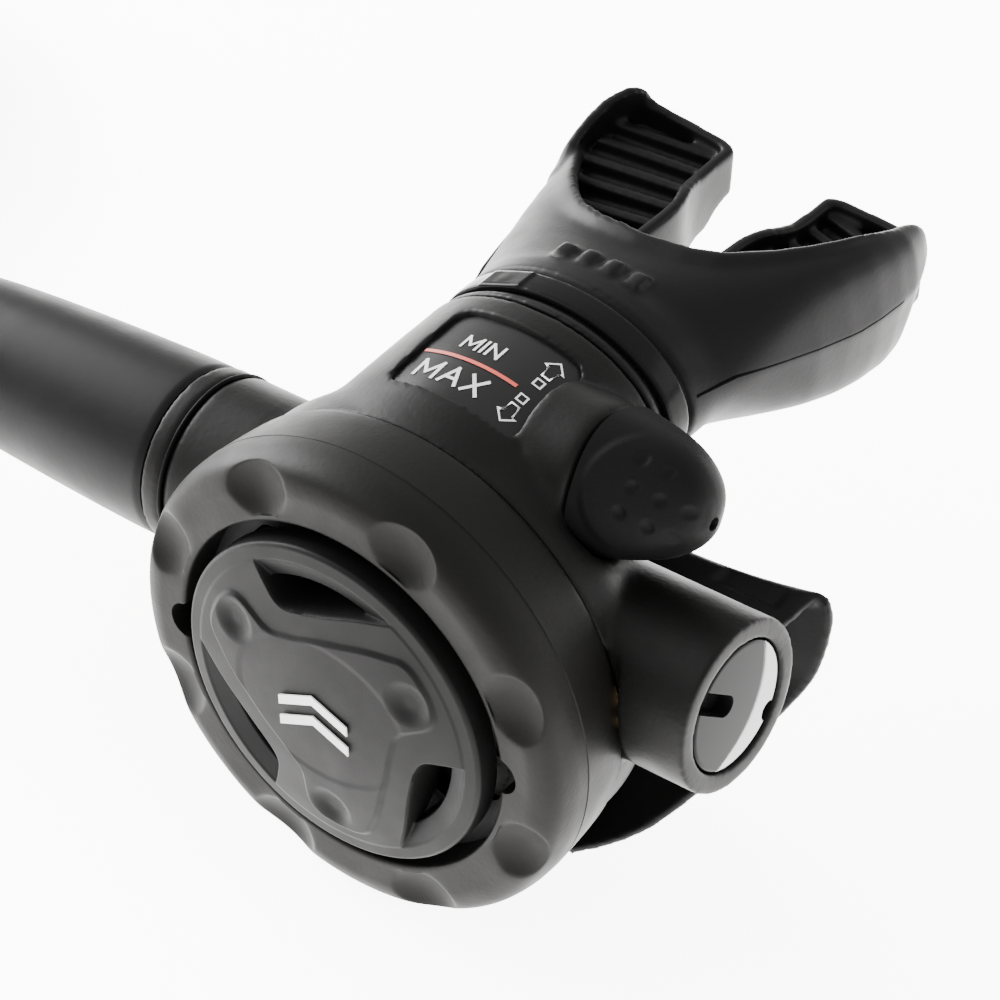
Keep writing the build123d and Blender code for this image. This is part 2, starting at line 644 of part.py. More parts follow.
with BuildPart() as hose_stem:
    with BuildSketch(TUBE_PROFILE):
        Polygon(
            (-57.7, 2.2), (-57.7, 6.6), (-58.8, 6.6), (-58.8, 4.8), (-62.4, 4.8), (-62.4, 6.6), (-63.9, 6.6),
            (-63.9, 3.1), (-82.0, 3.1), (-82.0, 2.2), align=None,
        )
    revolve(axis=TUBE_AXIS)
save(hose_stem, "hose_stem")

with BuildPart() as hose_ferrule:
    with BuildSketch(TUBE_PROFILE):
        Polygon(*tube_profile(-84, -64.1, HOSE_R + FIT, 6.7), align=None)
        Polygon(*tube_profile(-78, -76.5, 6.3, 7), align=None, mode=Mode.SUBTRACT)
        Polygon(*tube_profile(-72, -70.5, 6.3, 7), align=None, mode=Mode.SUBTRACT)
    revolve(axis=TUBE_AXIS)
save(hose_ferrule, "hose_ferrule")

with BuildPart() as hose_sleeve:
    with BuildSketch(TUBE_PROFILE):
        with BuildLine():
            Polyline((-48.4, 10.4), (-61.6, 10.4), (-64.5, 6.8), (-84.5, 6.8), (-86, 6.0), (SLEEVE_END, 6.0))
            Polyline((SLEEVE_END, 6.0), (SLEEVE_END, 7.4))
            Spline((SLEEVE_END, 7.4), (-105, 9.6), (-88, 11.7), (-66, 12.9), (-48.4, 13.5))
            Line((-48.4, 13.5), (-48.4, 10.4))
        make_face()
    revolve(axis=TUBE_AXIS)
save(hose_sleeve, "hose_sleeve")

# The free hose: straight out of the sleeve, down, and onto the top of its coil
COIL_Y = TUBE_Y + COIL_R
TOP_TURN_Z = COIL_LIFT + 3 * HOSE_R
HOSE_ROUTE = [
    (HOSE_START, TUBE_Y, TUBE_Z), (-132.5, TUBE_Y, TUBE_Z), (-168.0, TUBE_Y - 1.0, TUBE_Z - 7.8),
    (-206.5, TUBE_Y - 0.4, TOP_TURN_Z + 2.6),
]


def corner_radii(points):
    """Each corner's arc takes 0.45 of its shorter run."""
    radii = []
    for before, here, after in zip(points, points[1:], points[2:]):
        first = Vector(*here) - Vector(*before)
        second = Vector(*after) - Vector(*here)
        turn = radians(first.get_angle(second))
        reach = 0.45 * min(first.length, second.length)
        radii.append(reach * (1 + cos(turn)) / sin(turn))
    return radii


HOSE_RADII = corner_radii(HOSE_ROUTE)
print("hose radii", [round(r, 1) for r in HOSE_RADII])

with BuildPart() as hose:
    with BuildLine() as hose_path:
        FilletPolyline(*HOSE_ROUTE, radius=HOSE_RADII)
    with BuildSketch(Plane((HOSE_START, TUBE_Y, TUBE_Z), x_dir=(0, 1, 0), z_dir=(-1, 0, 0))):
        Circle(HOSE_R)
    sweep()
    with BuildSketch(TUBE_PROFILE):
        Polygon(*tube_profile(-83, HOSE_START + 1, 0, 3.1 + FIT), align=None)
    revolve(axis=TUBE_AXIS, mode=Mode.SUBTRACT)
save(hose, "hose")
HOSE_LENGTH = hose_path.wires()[0].length
print("hose volume over section times length", hose.part.volume / (pi * HOSE_R**2 * HOSE_LENGTH))

COIL_PLANE = Plane((COIL_X, COIL_Y, COIL_LIFT), x_dir=(1, 0, 0), z_dir=(0, -1, 0))
with BuildPart() as hose_coil:
    with BuildSketch(COIL_PLANE):
        with Locations((COIL_R, 2 * HOSE_R)):
            SlotOverall(4 * HOSE_R, 2 * HOSE_R, rotation=90)
    revolve(axis=Axis((COIL_X, COIL_Y, 0), (0, 0, 1)))
save(hose_coil, "hose_coil")

# The tail leaves the coil towards -Y; its sketches run along it from the coil's middle
TAIL_X = COIL_X + COIL_R
TAIL_Z = 7.1
TAIL_PLANE = Plane((TAIL_X, COIL_Y, TAIL_Z), x_dir=(0, -1, 0), z_dir=(0, 0, 1))
TAIL_AXIS = Axis((TAIL_X, COIL_Y, TAIL_Z), (0, -1, 0))
TAIL_START = 27.0
TAIL_END = 58.0

with BuildPart() as hose_tail:
    with BuildSketch(TAIL_PLANE):
        Polygon((TAIL_START, 0), (TAIL_START, HOSE_R), (TAIL_END, HOSE_R), (TAIL_END, 0), align=None)
    revolve(axis=TAIL_AXIS)
save(hose_tail, "hose_tail")

with BuildPart() as far_ferrule:
    with BuildSketch(TAIL_PLANE):
        Polygon(*tube_profile(TAIL_END - 18, TAIL_END, HOSE_R + FIT, 6.7), align=None)
        Polygon(*tube_profile(TAIL_END - 13, TAIL_END - 11.5, 6.3, 7), align=None, mode=Mode.SUBTRACT)
        Polygon(*tube_profile(TAIL_END - 8, TAIL_END - 6.5, 6.3, 7), align=None, mode=Mode.SUBTRACT)
    revolve(axis=TAIL_AXIS)
save(far_ferrule, "far_ferrule")

with BuildPart() as first_stage_fitting:
    with BuildSketch(TAIL_PLANE):
        Polygon(
            (TAIL_END + 0.1, 2.0), (TAIL_END + 0.1, 6.6), (TAIL_END + 4, 6.6), (TAIL_END + 4, 6.9),
            (TAIL_END + 12, 6.9), (TAIL_END + 12, 3.5), (TAIL_END + 14, 3.5), (TAIL_END + 14, 4.76),
            (TAIL_END + 22, 4.76), (TAIL_END + 22, 2.0), align=None,
        )
    revolve(axis=TAIL_AXIS)
    hex_plane = Plane((TAIL_X, COIL_Y - TAIL_END - 4, TAIL_Z), x_dir=(0, 0, 1), z_dir=(0, -1, 0))
    with BuildSketch(hex_plane):
        RegularPolygon(7.0, 6, major_radius=False)
        Circle(3.5, mode=Mode.SUBTRACT)
    extrude(amount=8)
save(first_stage_fitting, "first_stage_fitting")
o_ring("fitting_o_ring", TAIL_AXIS, TAIL_PLANE, TAIL_END + 13.0, 4.3, 0.75)

TIE_ANGLE = 160.0
TIE_MIDDLE = (
    COIL_X + COIL_R * cos(radians(TIE_ANGLE)), COIL_Y + COIL_R * sin(radians(TIE_ANGLE)),
    COIL_LIFT + 2 * HOSE_R,
)
TIE_PLANE = Plane(
    TIE_MIDDLE, x_dir=(cos(radians(TIE_ANGLE)), sin(radians(TIE_ANGLE)), 0),
    z_dir=(-sin(radians(TIE_ANGLE)), cos(radians(TIE_ANGLE)), 0),
)
with BuildPart() as coil_tie:
    with BuildSketch(TIE_PLANE):
        SlotOverall(4 * HOSE_R + 1.5, 2 * HOSE_R + 1.5, rotation=90)
        SlotOverall(4 * HOSE_R + 0.1, 2 * HOSE_R + 0.1, rotation=90, mode=Mode.SUBTRACT)
    extrude(amount=5, both=True)
save(coil_tie, "coil_tie")
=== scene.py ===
"""The visual model of the scuba second stage and its hose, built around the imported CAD."""

import json
import math

import bmesh
import bpy
import numpy as np
from mathutils import Matrix, Vector
from mathutils.bvhtree import BVHTree


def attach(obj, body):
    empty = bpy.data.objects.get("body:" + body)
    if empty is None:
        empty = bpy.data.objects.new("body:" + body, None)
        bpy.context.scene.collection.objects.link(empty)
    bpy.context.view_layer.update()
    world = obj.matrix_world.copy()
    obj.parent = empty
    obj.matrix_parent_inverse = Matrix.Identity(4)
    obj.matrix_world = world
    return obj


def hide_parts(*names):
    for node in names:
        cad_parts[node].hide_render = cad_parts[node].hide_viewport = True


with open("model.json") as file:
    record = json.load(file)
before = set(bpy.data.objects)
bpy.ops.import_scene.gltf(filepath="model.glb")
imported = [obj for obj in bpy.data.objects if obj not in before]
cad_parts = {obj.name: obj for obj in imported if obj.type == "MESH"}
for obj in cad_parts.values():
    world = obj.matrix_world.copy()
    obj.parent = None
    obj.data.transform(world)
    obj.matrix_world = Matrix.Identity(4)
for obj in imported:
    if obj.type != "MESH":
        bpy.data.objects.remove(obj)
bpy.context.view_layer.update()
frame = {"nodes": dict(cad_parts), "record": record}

MM = 0.001
# Where the front of the can (y), its axis (z) and the barrel's axis (y, z) lie, in mm of the row frame
FRONT_Y = -49.4
CAN_Z = 37.0
TUBE = (-22.5, 40.4)


def row(x, depth, height):
    """Can coordinates in mm to a point of the row frame in metres."""
    return (x * MM, (FRONT_Y + depth) * MM, (CAN_Z + height) * MM)


# Camera

AZ, EL, ROLL = math.radians(39.84), math.radians(38.58), math.radians(-2.78)
CAMERA_AT = (0.3511, -0.4339, 0.4851)
LENS = 180
back = Vector((math.sin(AZ) * math.cos(EL), -math.cos(AZ) * math.cos(EL), math.sin(EL)))
right = Vector((math.cos(AZ), math.sin(AZ), 0))
up = back.cross(right)
right2 = right * math.cos(ROLL) + up * math.sin(ROLL)
up2 = up * math.cos(ROLL) - right * math.sin(ROLL)
camera = bpy.data.objects.new("camera", bpy.data.cameras.new("camera"))
bpy.context.scene.collection.objects.link(camera)
camera.data.lens = LENS
camera.data.sensor_width = 36
camera.matrix_world = Matrix.Translation(CAMERA_AT) @ Matrix(
    (right2, up2, back)
).transposed().to_4x4()
bpy.context.scene.camera = camera

# The hose

HOSE_R = 5.75
COIL_R = 54.0
COIL_X, COIL_Y = -229.5, TUBE[0] + COIL_R
LOW_Z, TOP_Z, TAIL_Z = 6.55, 18.05, 7.1
TURN_POINTS = 24
COIL_TURN = 630


def smoothstep(a, b, x):
    t = np.clip((np.asarray(x, float) - a) / (b - a), 0, 1)
    return t * t * (3 - 2 * t)


def hose_points():
    """The hose's route in mm: out of the sleeve, down, round its coil and out to the fitting."""
    points = [(-64, TUBE[0], TUBE[1]), (-98, TUBE[0], TUBE[1]), (-132.5, TUBE[0], TUBE[1])]
    points += [(-168, TUBE[0] - 1.0, 32.6), (-206.5, TUBE[0] - 0.4, 20.65)]
    reach = COIL_R / math.cos(math.pi / TURN_POINTS)
    for k in range(TURN_POINTS * COIL_TURN // 360):
        turn = (k + 0.5) * 360 / TURN_POINTS
        z = TOP_Z + (LOW_Z - TOP_Z) * float(smoothstep(272, 362, turn))
        z += (TAIL_Z - LOW_Z) * float(smoothstep(600, 628, turn))
        a = math.radians(270 - turn)
        points.append((COIL_X + reach * math.cos(a), COIL_Y + reach * math.sin(a), z))
    points += [(COIL_X + COIL_R, COIL_Y - along, TAIL_Z) for along in (14, 36, 57.8)]
    return points


curve = bpy.data.curves.new("hose_line", "CURVE")
curve.dimensions = "3D"
route = hose_points()
spline = curve.splines.new("NURBS")
spline.points.add(len(route) - 1)
for point, (x, y, z) in zip(spline.points, route):
    point.co = (x * MM, y * MM, z * MM, 1)
spline.order_u = 3
spline.use_endpoint_u = True
spline.resolution_u = 8
curve.bevel_depth = HOSE_R * MM
curve.bevel_resolution = 10
curve.use_fill_caps = True
hose = bpy.data.objects.new("air_hose", curve)
bpy.context.scene.collection.objects.link(hose)

# Materials

GRAIN_DEPTH = 0.00006


def material(name, dark, light, rough, grain=2600, bump=0.25, patch=30, coat=0.0, metal=0.0, spec=0.5, glow=0.0):
    """A mottled finish: colour, roughness and fine grain all come from noise in the piece's own space."""
    m = bpy.data.materials.new(name)
    m.use_nodes = True
    nodes, links = m.node_tree.nodes, m.node_tree.links
    shader = nodes["Principled BSDF"]
    coords = nodes.new("ShaderNodeTexCoord")

    def noise(scale, detail):
        n = nodes.new("ShaderNodeTexNoise")
        n.inputs["Scale"].default_value = scale
        n.inputs["Detail"].default_value = detail
        links.new(coords.outputs["Object"], n.inputs["Vector"])
        return n.outputs["Fac"]

    ramp = nodes.new("ShaderNodeValToRGB")
    ramp.color_ramp.elements[0].position = 0.3
    ramp.color_ramp.elements[1].position = 0.7
    ramp.color_ramp.elements[0].color = (*dark, 1)
    ramp.color_ramp.elements[1].color = (*light, 1)
    links.new(noise(patch, 4), ramp.inputs["Fac"])
    links.new(ramp.outputs["Color"], shader.inputs["Base Color"])
    spread = nodes.new("ShaderNodeMapRange")
    spread.inputs["From Min"].default_value = 0.3
    spread.inputs["From Max"].default_value = 0.7
    spread.inputs["To Min"].default_value = rough[0]
    spread.inputs["To Max"].default_value = rough[1]
    links.new(noise(patch * 5, 3), spread.inputs["Value"])
    links.new(spread.outputs["Result"], shader.inputs["Roughness"])
    relief = nodes.new("ShaderNodeBump")
    relief.inputs["Strength"].default_value = bump
    relief.inputs["Distance"].default_value = GRAIN_DEPTH
    links.new(noise(grain, 2), relief.inputs["Height"])
    links.new(relief.outputs["Normal"], shader.inputs["Normal"])
    shader.inputs["Metallic"].default_value = metal
    shader.inputs["Coat Weight"].default_value = coat
    shader.inputs["Coat Roughness"].default_value = 0.12
    shader.inputs["Specular IOR Level"].default_value = spec
    shader.inputs["Emission Color"].default_value = (1, 0.99, 0.985, 1)
    shader.inputs["Emission Strength"].default_value = glow
    return m


def black(name, level, rough, grain=1600, bump=0.4, warm=0.0, spec=0.06):
    """A near-black finish, its two tones a little apart."""
    dark = (level, level * (1 - warm * 0.02), level * (1 - warm * 0.06))
    light = tuple(v * 1.35 for v in dark)
    return material(name, dark, light, (rough - 0.05, rough + 0.05), grain, bump, spec=spec)


MATS = {
    "case_plastic": black("case_finish", 0.0024, 0.45, 1300, 0.6, 1),
    "ring_plastic": black("ring_finish", 0.0024, 0.5, 1300, 0.5, 1.5),
    "button_plastic": black("button_finish", 0.0017, 0.5, 2600, 0.3, 0.5),
    "grille_plastic": black("grille_finish", 0.006, 0.45),
    "rubber": black("rubber_finish", 0.0022, 0.46, 2000, 0.3),
    "knob_rubber": black("knob_finish", 0.0020, 0.55, 2600, 0.35, spec=0.04),
    "silicone": black("silicone_finish", 0.0022, 0.42, 1500, 0.35),
    "clear_silicone": black("clear_finish", 0.2, 0.35),
    "gloss_plastic": black("gloss_finish", 0.0030, 0.2, 900, 0.05, spec=0.035),
    "label_plastic": black("label_finish", 0.0040, 0.3, 600, 0.08, spec=0.12),
    "white_ink": black("white_finish", 0.38, 0.45, bump=0.05),
    "red_ink": material("red_finish", (0.30, 0.03, 0.018), (0.38, 0.045, 0.026), (0.35, 0.45)),
    "brass": material("brass_finish", (0.62, 0.44, 0.2), (0.72, 0.53, 0.26), (0.2, 0.3), metal=1.0),
    "chrome": material("chrome_finish", (0.6, 0.6, 0.6), (0.7, 0.7, 0.7), (0.08, 0.16), bump=0.04, metal=1.0),
    "steel": material("steel_finish", (0.5, 0.5, 0.5), (0.62, 0.62, 0.61), (0.2, 0.3), metal=1.0),
    "o_ring": black("o_ring_finish", 0.0012, 0.5, spec=0.02),
    "hose_rubber": black("hose_finish", 0.0022, 0.46, 1100, 0.3),
}

SLOT_OF = {entry["node"]: entry["material_slot"] for entry in frame["record"]["subparts"]}
for node, solid in frame["nodes"].items():
    solid.data.materials.clear()
    solid.data.materials.append(MATS[SLOT_OF[node]])

# Mesh helpers


def piece(name, verts, faces, body, slot, *nodes, sharp=40):
    """A new piece from points in metres, standing for the given CAD nodes."""
    mesh = bpy.data.meshes.new(name)
    mesh.from_pydata([tuple(v) for v in verts], [], faces)
    mesh.update()
    mesh.polygons.foreach_set("use_smooth", [True] * len(mesh.polygons))
    if sharp:
        mesh.set_sharp_from_angle(angle=math.radians(sharp))
    mesh.materials.append(MATS[slot])
    obj = bpy.data.objects.new(name, mesh)
    bpy.context.scene.collection.objects.link(obj)
    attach(obj, body)
    if nodes:
        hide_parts(*nodes)
    return obj


def grid(points, around=True, along=False, flip=False):
    """Quads over an array of points [i, j]; i runs round when around, j when along."""
    n, m = points.shape[:2]
    index = np.arange(n * m).reshape(n, m)
    down = np.roll(index, -1, axis=0) if around else index[1:]
    here = index if around else index[:-1]
    if along:
        here2, down2 = np.roll(here, -1, axis=1), np.roll(down, -1, axis=1)
    else:
        here2, down2 = here[:, 1:], down[:, 1:]
        here, down = here[:, :-1], down[:, :-1]
    quads = np.stack([here, down, down2, here2], axis=-1).reshape(-1, 4)
    if flip:
        quads = quads[:, ::-1]
    return points.reshape(-1, 3), quads


def to_row(x, depth, height):
    return np.stack([x * MM, (FRONT_Y + depth) * MM, (CAN_Z + height) * MM], axis=-1)


def resample(points, count):
    """The same open line with evenly spaced points."""
    points = np.asarray(points, float)
    run = np.concatenate([[0], np.cumsum(np.linalg.norm(np.diff(points, axis=0), axis=1))])
    spots = np.linspace(0, run[-1], count)
    return np.stack([np.interp(spots, run, points[:, k]) for k in range(points.shape[1])], axis=1)


def rounded(points, rounds=3):
    """Corner cutting, which keeps the ends."""
    points = np.asarray(points, float)
    for _ in range(rounds):
        a, b = points[:-1], points[1:]
        cut = np.empty((2 * len(a), points.shape[1]))
        cut[0::2] = 0.75 * a + 0.25 * b
        cut[1::2] = 0.25 * a + 0.75 * b
        points = np.vstack([points[:1], cut, points[-1:]])
    return points


def smooth(co, edges, rounds, weight):
    """Moves points towards their neighbours' middle, by weight, some rounds over."""
    n = len(co)
    a, b = edges[:, 0], edges[:, 1]
    count = np.bincount(a, minlength=n) + np.bincount(b, minlength=n)
    count = np.maximum(count, 1)
    for _ in range(rounds):
        mean = np.empty_like(co)
        for k in range(3):
            mean[:, k] = np.bincount(a, co[b, k], n) + np.bincount(b, co[a, k], n)
        mean /= count[:, None]
        co = co + (mean - co) * weight[:, None]
    return co


def remeshed(meshes, voxel):
    """One closed skin over all these overlapping solids: (points, quads, edges)."""
    bm = bmesh.new()
    for mesh in meshes:
        bm.from_mesh(mesh)
    bmesh.ops.remove_doubles(bm, verts=bm.verts, dist=1e-6)
    bmesh.ops.recalc_face_normals(bm, faces=bm.faces)
    joined = bpy.data.meshes.new("joined")
    bm.to_mesh(joined)
    bm.free()
    obj = bpy.data.objects.new("joined", joined)
    bpy.context.scene.collection.objects.link(obj)
    mod = obj.modifiers.new("skin", "REMESH")
    mod.mode = "VOXEL"
    mod.voxel_size = voxel * MM
    skin = bpy.data.meshes.new_from_object(obj.evaluated_get(bpy.context.evaluated_depsgraph_get()))
    co = np.empty(len(skin.vertices) * 3)
    skin.vertices.foreach_get("co", co)
    edges = np.empty(len(skin.edges) * 2, int)
    skin.edges.foreach_get("vertices", edges)
    faces = [list(p.vertices) for p in skin.polygons]
    bpy.data.objects.remove(obj)
    bpy.data.meshes.remove(joined)
    bpy.data.meshes.remove(skin)
    return co.reshape(-1, 3), faces, edges.reshape(-1, 2)


def can_coords(co):
    """Row metres back to can coordinates in mm: x, depth, height."""
    return co[:, 0] / MM, co[:, 1] / MM - FRONT_Y, co[:, 2] / MM - CAN_Z


def new_mesh(verts, faces):
    mesh = bpy.data.meshes.new("part")
    mesh.from_pydata([tuple(v) for v in verts], [], [list(f) for f in faces])
    return mesh


def slab(outline, low, high, axis="h"):
    """A prism over an outline of (x, depth), or for axis d (x, height), or for axis x (depth, height)."""
    n = len(outline)
    verts = []
    for level in (low, high):
        for a, b in outline:
            place = {"h": (a, b, level), "d": (a, level, b), "x": (level, a, b)}[axis]
            verts.append(row(*place))
    faces = [[k, (k + 1) % n, n + (k + 1) % n, n + k] for k in range(n)]
    faces += [list(range(n))[::-1], list(range(n, 2 * n))]
    return new_mesh(verts, faces)


# Cover ring

RING_COLUMNS = 1080
DIMPLE_AT = 34.6
DIMPLE_R = 8.5


def ring_profile():
    """Radius and depth round the ring's section, from the aperture's back edge to the front and outside."""
    front = [(28.0, 5.7), (28.0, 1.2), (28.0, 0.0), (29.2, 0.0), (31.0, 0.0)]
    line = rounded(front, 3)
    shoulder = rounded([(31.0, 0.0), (33.6, 0.0), (36.2, 1.4), (37.0, 4.6), (37.0, 7.55)], 3)
    seam = [(36.88, 7.62), (36.84, 7.75), (36.88, 7.88), (36.98, 7.95)]
    band = rounded([(36.98, 7.95), (36.5, 13.0), (36.1, 16.0), (35.8, 17.0), (35.0, 17.0)], 3)
    inner = [(33.1, 17.0), (33.1, 5.7), (28.0, 5.7)]
    first = resample(line, 26)
    second = resample(shoulder, 46)
    return np.vstack([first, second[1:], seam, resample(band, 34)[1:], resample(inner, 12)[1:-1]])


def make_ring():
    profile = ring_profile()
    turn = np.linspace(0, 2 * math.pi, RING_COLUMNS, endpoint=False)[:, None]
    r = np.broadcast_to(profile[:, 0], (RING_COLUMNS, len(profile))).copy()
    d = np.broadcast_to(profile[:, 1], r.shape).copy()
    for notch in (0, math.pi):
        off = (np.angle(np.exp(1j * (turn - notch)))) * 28.0
        edge = 27.6 + np.sqrt(np.clip(3.0**2 - off**2, 0, None))
        r = np.where((np.abs(off) < 3.0) & (r < edge) & (d < 8), np.maximum(r, edge), r)
    x, h = r * np.cos(turn), r * np.sin(turn)
    for k in range(8):
        a = math.radians(22.5 + 45 * k)
        cx, ch, cd = DIMPLE_AT * math.cos(a), DIMPLE_AT * math.sin(a), -6.0
        dx, dh, dd = x - cx, h - ch, d - cd
        s = np.sqrt(dx**2 + dh**2 + dd**2)
        gap = DIMPLE_R - s
        push = 0.5 * (gap + np.sqrt(gap**2 + 0.35**2)) * smoothstep(-1.6, -0.4, gap)
        outside = (d < 12) & (r > 29.3)
        grow = np.where(outside, (s + push) / s, 1.0)
        x, h, d = cx + dx * grow, ch + dh * grow, cd + dd * grow
    verts, quads = grid(to_row(x, d, h), around=True, along=True)
    return piece("ring", verts, quads.tolist(), "housing", "ring_plastic", "cover_ring", sharp=50)


make_ring()

# Purge button

BUTTON_COLUMNS = 1080
SLOT_END = 2.7

# Outlines of the raised pad and of the step round it: (angle, radius) from one arm to the next
PAD_EDGE = [(30, 21.4), (41, 21.5), (47, 20.9), (51, 19.4), (56, 18.0), (65, 15.8), (75, 14.0), (90, 12.6),
            (107, 12.0), (118, 12.4), (127, 13.0), (131.5, 14.2), (133.5, 15.6), (135, 17.3), (136.5, 19.0),
            (139, 20.3), (143, 21.1), (150, 21.4)]
STEP_EDGE = [(30, 27), (48, 26.5), (56.5, 24.1), (65, 21.1), (78.4, 18.0), (88, 16.7), (96.4, 16.1),
             (104, 15.9), (111, 16.2), (115.5, 17.0), (117.6, 18.2), (119.2, 20.4), (120.3, 22.4),
             (121.2, 24.5), (124, 27), (150, 27)]


def beyond(x, h, edge):
    """Distance in mm outside a three-fold outline given as angles and radii."""
    table = rounded(edge, 3)
    r = np.hypot(x, h)
    angle = (np.degrees(np.arctan2(h, x)) - 30) % 120 + 30
    radius = np.interp(angle, table[:, 0], table[:, 1])
    slope = np.interp(angle + 0.6, table[:, 0], table[:, 1]) - np.interp(angle - 0.6, table[:, 0], table[:, 1])
    slope /= math.radians(1.2) * np.maximum(radius, 1)
    return (r - radius) / np.sqrt(1 + slope**2), angle


def button_depth(x, h):
    """(depth of the button's skin, depth the slots would reach) at a point of its front."""
    r = np.hypot(x, h)
    rim = -3.9 + 2.2 * (r / 25.7) ** 2
    pad_gap, angle = beyond(x, h, PAD_EDGE)
    step_gap, angle = beyond(x, h, STEP_EDGE)
    middle = -4.5 + 0.0042 * r**2
    dish = -2.0 + 0.32 * (23.4 - r)
    low = smoothstep(-0.15, 0.35, step_gap)
    inside = 1 - smoothstep(23.0, 23.6, r)
    depth = rim * (1 - inside) + (middle * (1 - low) + dish * low) * inside
    lift = 1 - smoothstep(-0.5, 0.4, pad_gap)
    depth -= 0.5 * lift
    depth += 0.12 * (1 - smoothstep(11.2, 12.4, np.hypot(x * 0.8, h - 0.4))) * lift
    for a in (30, 150, 270):
        ca, sa = math.cos(math.radians(a)), math.sin(math.radians(a))
        q = np.hypot(x - 17.6 * ca, h - 17.6 * sa)
        depth += 0.95 * (1 - smoothstep(0.9, 3.9, q))
    hole = smoothstep(0.15, 0.5, step_gap) * (1 - smoothstep(19.9, 20.4, r)) * inside
    floor_at = np.interp(angle, [60, 80, 88], [0.0, 2.6, 6.0])
    cut = hole * np.maximum(floor_at, 0) * smoothstep(60, 64, angle)
    return np.minimum(depth + cut, SLOT_END), depth + cut


def make_button():
    turn = np.linspace(0, 2 * math.pi, BUTTON_COLUMNS, endpoint=False)[:, None]
    r = np.concatenate([np.linspace(0.4, 24.9, 190), 24.9 + 0.8 * np.sin(np.linspace(0.2, 1.57, 8))])
    x, h = r * np.cos(turn), r * np.sin(turn)
    depth, deep = button_depth(x, h)
    depth[:, 190:] = depth[:, 189:190] + 0.8 * (1 - np.cos(np.linspace(0.2, 1.57, 8)))
    side_r = np.array([25.7, 25.7, 24.2, 24.2, 22.0])
    side_d = np.array([0.2, 2.2, 2.2, -0.1, -0.6])
    x = np.hstack([x, side_r * np.cos(turn)])
    h = np.hstack([h, side_r * np.sin(turn)])
    depth = np.hstack([depth, np.broadcast_to(side_d, (BUTTON_COLUMNS, 5))])
    deep = np.hstack([deep, np.zeros((BUTTON_COLUMNS, 5))])
    verts, quads = grid(to_row(x, depth, h), around=True)
    open_at = (deep.reshape(-1) > SLOT_END)[quads].all(axis=1)
    faces = quads[~open_at].tolist()
    faces.append([k * x.shape[1] for k in range(BUTTON_COLUMNS)][::-1])
    return piece("button", verts, faces, "button", "button_plastic", "purge_button", sharp=60)


make_button()

# Case, with every edge eased

MOST_CUT = 0.9


def eased(node, name, slot, voxel, rounds, keep):
    """The CAD piece with its corners filled and edges eased, never cut back by more than a little."""
    co, faces, edges = remeshed([frame["nodes"][node].data], voxel)
    x, d, h = can_coords(co)
    soft = smooth(co, edges, rounds, keep(x, d, h))
    quads = np.array([f for f in faces if len(f) == 4])
    normals = np.cross(co[quads[:, 2]] - co[quads[:, 0]], co[quads[:, 3]] - co[quads[:, 1]])
    out = np.zeros_like(co)
    for k in range(4):
        np.add.at(out, quads[:, k], normals)
    out = smooth(out, edges, 6, np.full(len(co), 0.5))
    out /= np.maximum(np.linalg.norm(out, axis=1), 1e-12)[:, None]
    inward = -np.sum((soft - co) * out, axis=1)
    soft += out * np.maximum(inward - MOST_CUT * MM, 0)[:, None]
    soft = smooth(soft, edges, 3, np.minimum(keep(x, d, h), 0.4))
    return piece(name, soft, faces, "housing", slot, node, sharp=0)


def case_weight(x, d, h):
    """How freely each point of the case may be eased; bores, mouths and the label's pocket hardly at all."""
    w = np.full(len(x), 0.5)
    arm = np.hypot(d - 26.9, h - 3.4)
    can = np.hypot(x, h)
    w[(x < -34) & (arm > 12.3)] = 0.03
    w[(x > 44.5)] = 0.05
    w[d < 19] = 0.05
    w[d > 44.5] = 0.08
    bowl = np.interp(d, [8, 18.5, 21.8, 27.3, 31, 33.4], [32.5, 33.2, 33.0, 31.2, 28.0, 24.5])
    inside = (can < bowl) & (d < 33.8)
    w[inside | (arm < 10.6)] = 0.03
    width = np.interp(d, [15, 30, 46.5], [24.5, 21.4, 20.5]) - 1.9
    tall = np.interp(d, [15, 30, 46.5], [19.2, 15.9, 14.3]) - 1.9
    middle = np.interp(d, [15, 30, 46.5], [15.5, 21.6, 23.8])
    w[(x / width) ** 2 + ((h - middle) / tall) ** 2 < 1] = 0.03
    pocket = (np.abs(x - 1) < 13.0) & (np.abs(d - 33.6) < 10.4) & (h > 25)
    w[pocket] = 0.04
    return w


eased("case", "housing_shell", "case_plastic", 0.42, 45, case_weight)

# Exhaust deflector

# Down its middle and down its right edge: (depth, height) and (x, depth, height)
TEE_MIDDLE = [(40.6, 6.9), (43.0, 7.0), (45.2, 7.0), (46.6, 6.8), (47.2, 5.2), (47.5, 1.0), (47.8, -5),
              (47.6, -10), (46.8, -15), (44.3, -22), (40.0, -29), (34.5, -34), (28.0, -36.4), (24.0, -37)]
TEE_EDGE = [(44.6, 40.0, 6.4), (45.3, 43.6, 7.0), (45.6, 47.0, 7.6), (45.9, 49.2, 7.8), (47.0, 50.0, 6.6),
            (47.7, 50.0, 4.4), (47.7, 49.8, 1.5), (47.0, 49.2, -3), (45.6, 48.6, -8), (42.2, 46.6, -14),
            (38.2, 42.0, -20.6), (34.0, 36.8, -27), (28.6, 31.3, -33.3), (23.4, 27.4, -36.2), (20.0, 24.6, -37)]
TEE_LEFT = [(33.5, 40.0, 2.4), (34.6, 43.6, 2.7), (35.2, 46.6, 2.6), (35.6, 48.4, 1.9), (35.7, 49.2, 0.4),
            (35.5, 49.2, -1.5), (35.0, 48.9, -3.6), (34.4, 48.2, -6), (33.6, 47.6, -9), (32.0, 46.0, -14),
            (30.2, 41.3, -20.6), (28.0, 36.2, -27), (25.0, 31.3, -33.3), (22.0, 27.4, -36.2), (20.0, 24.6, -37)]
TEE_WALL = 1.5
COLLAR_H = -17
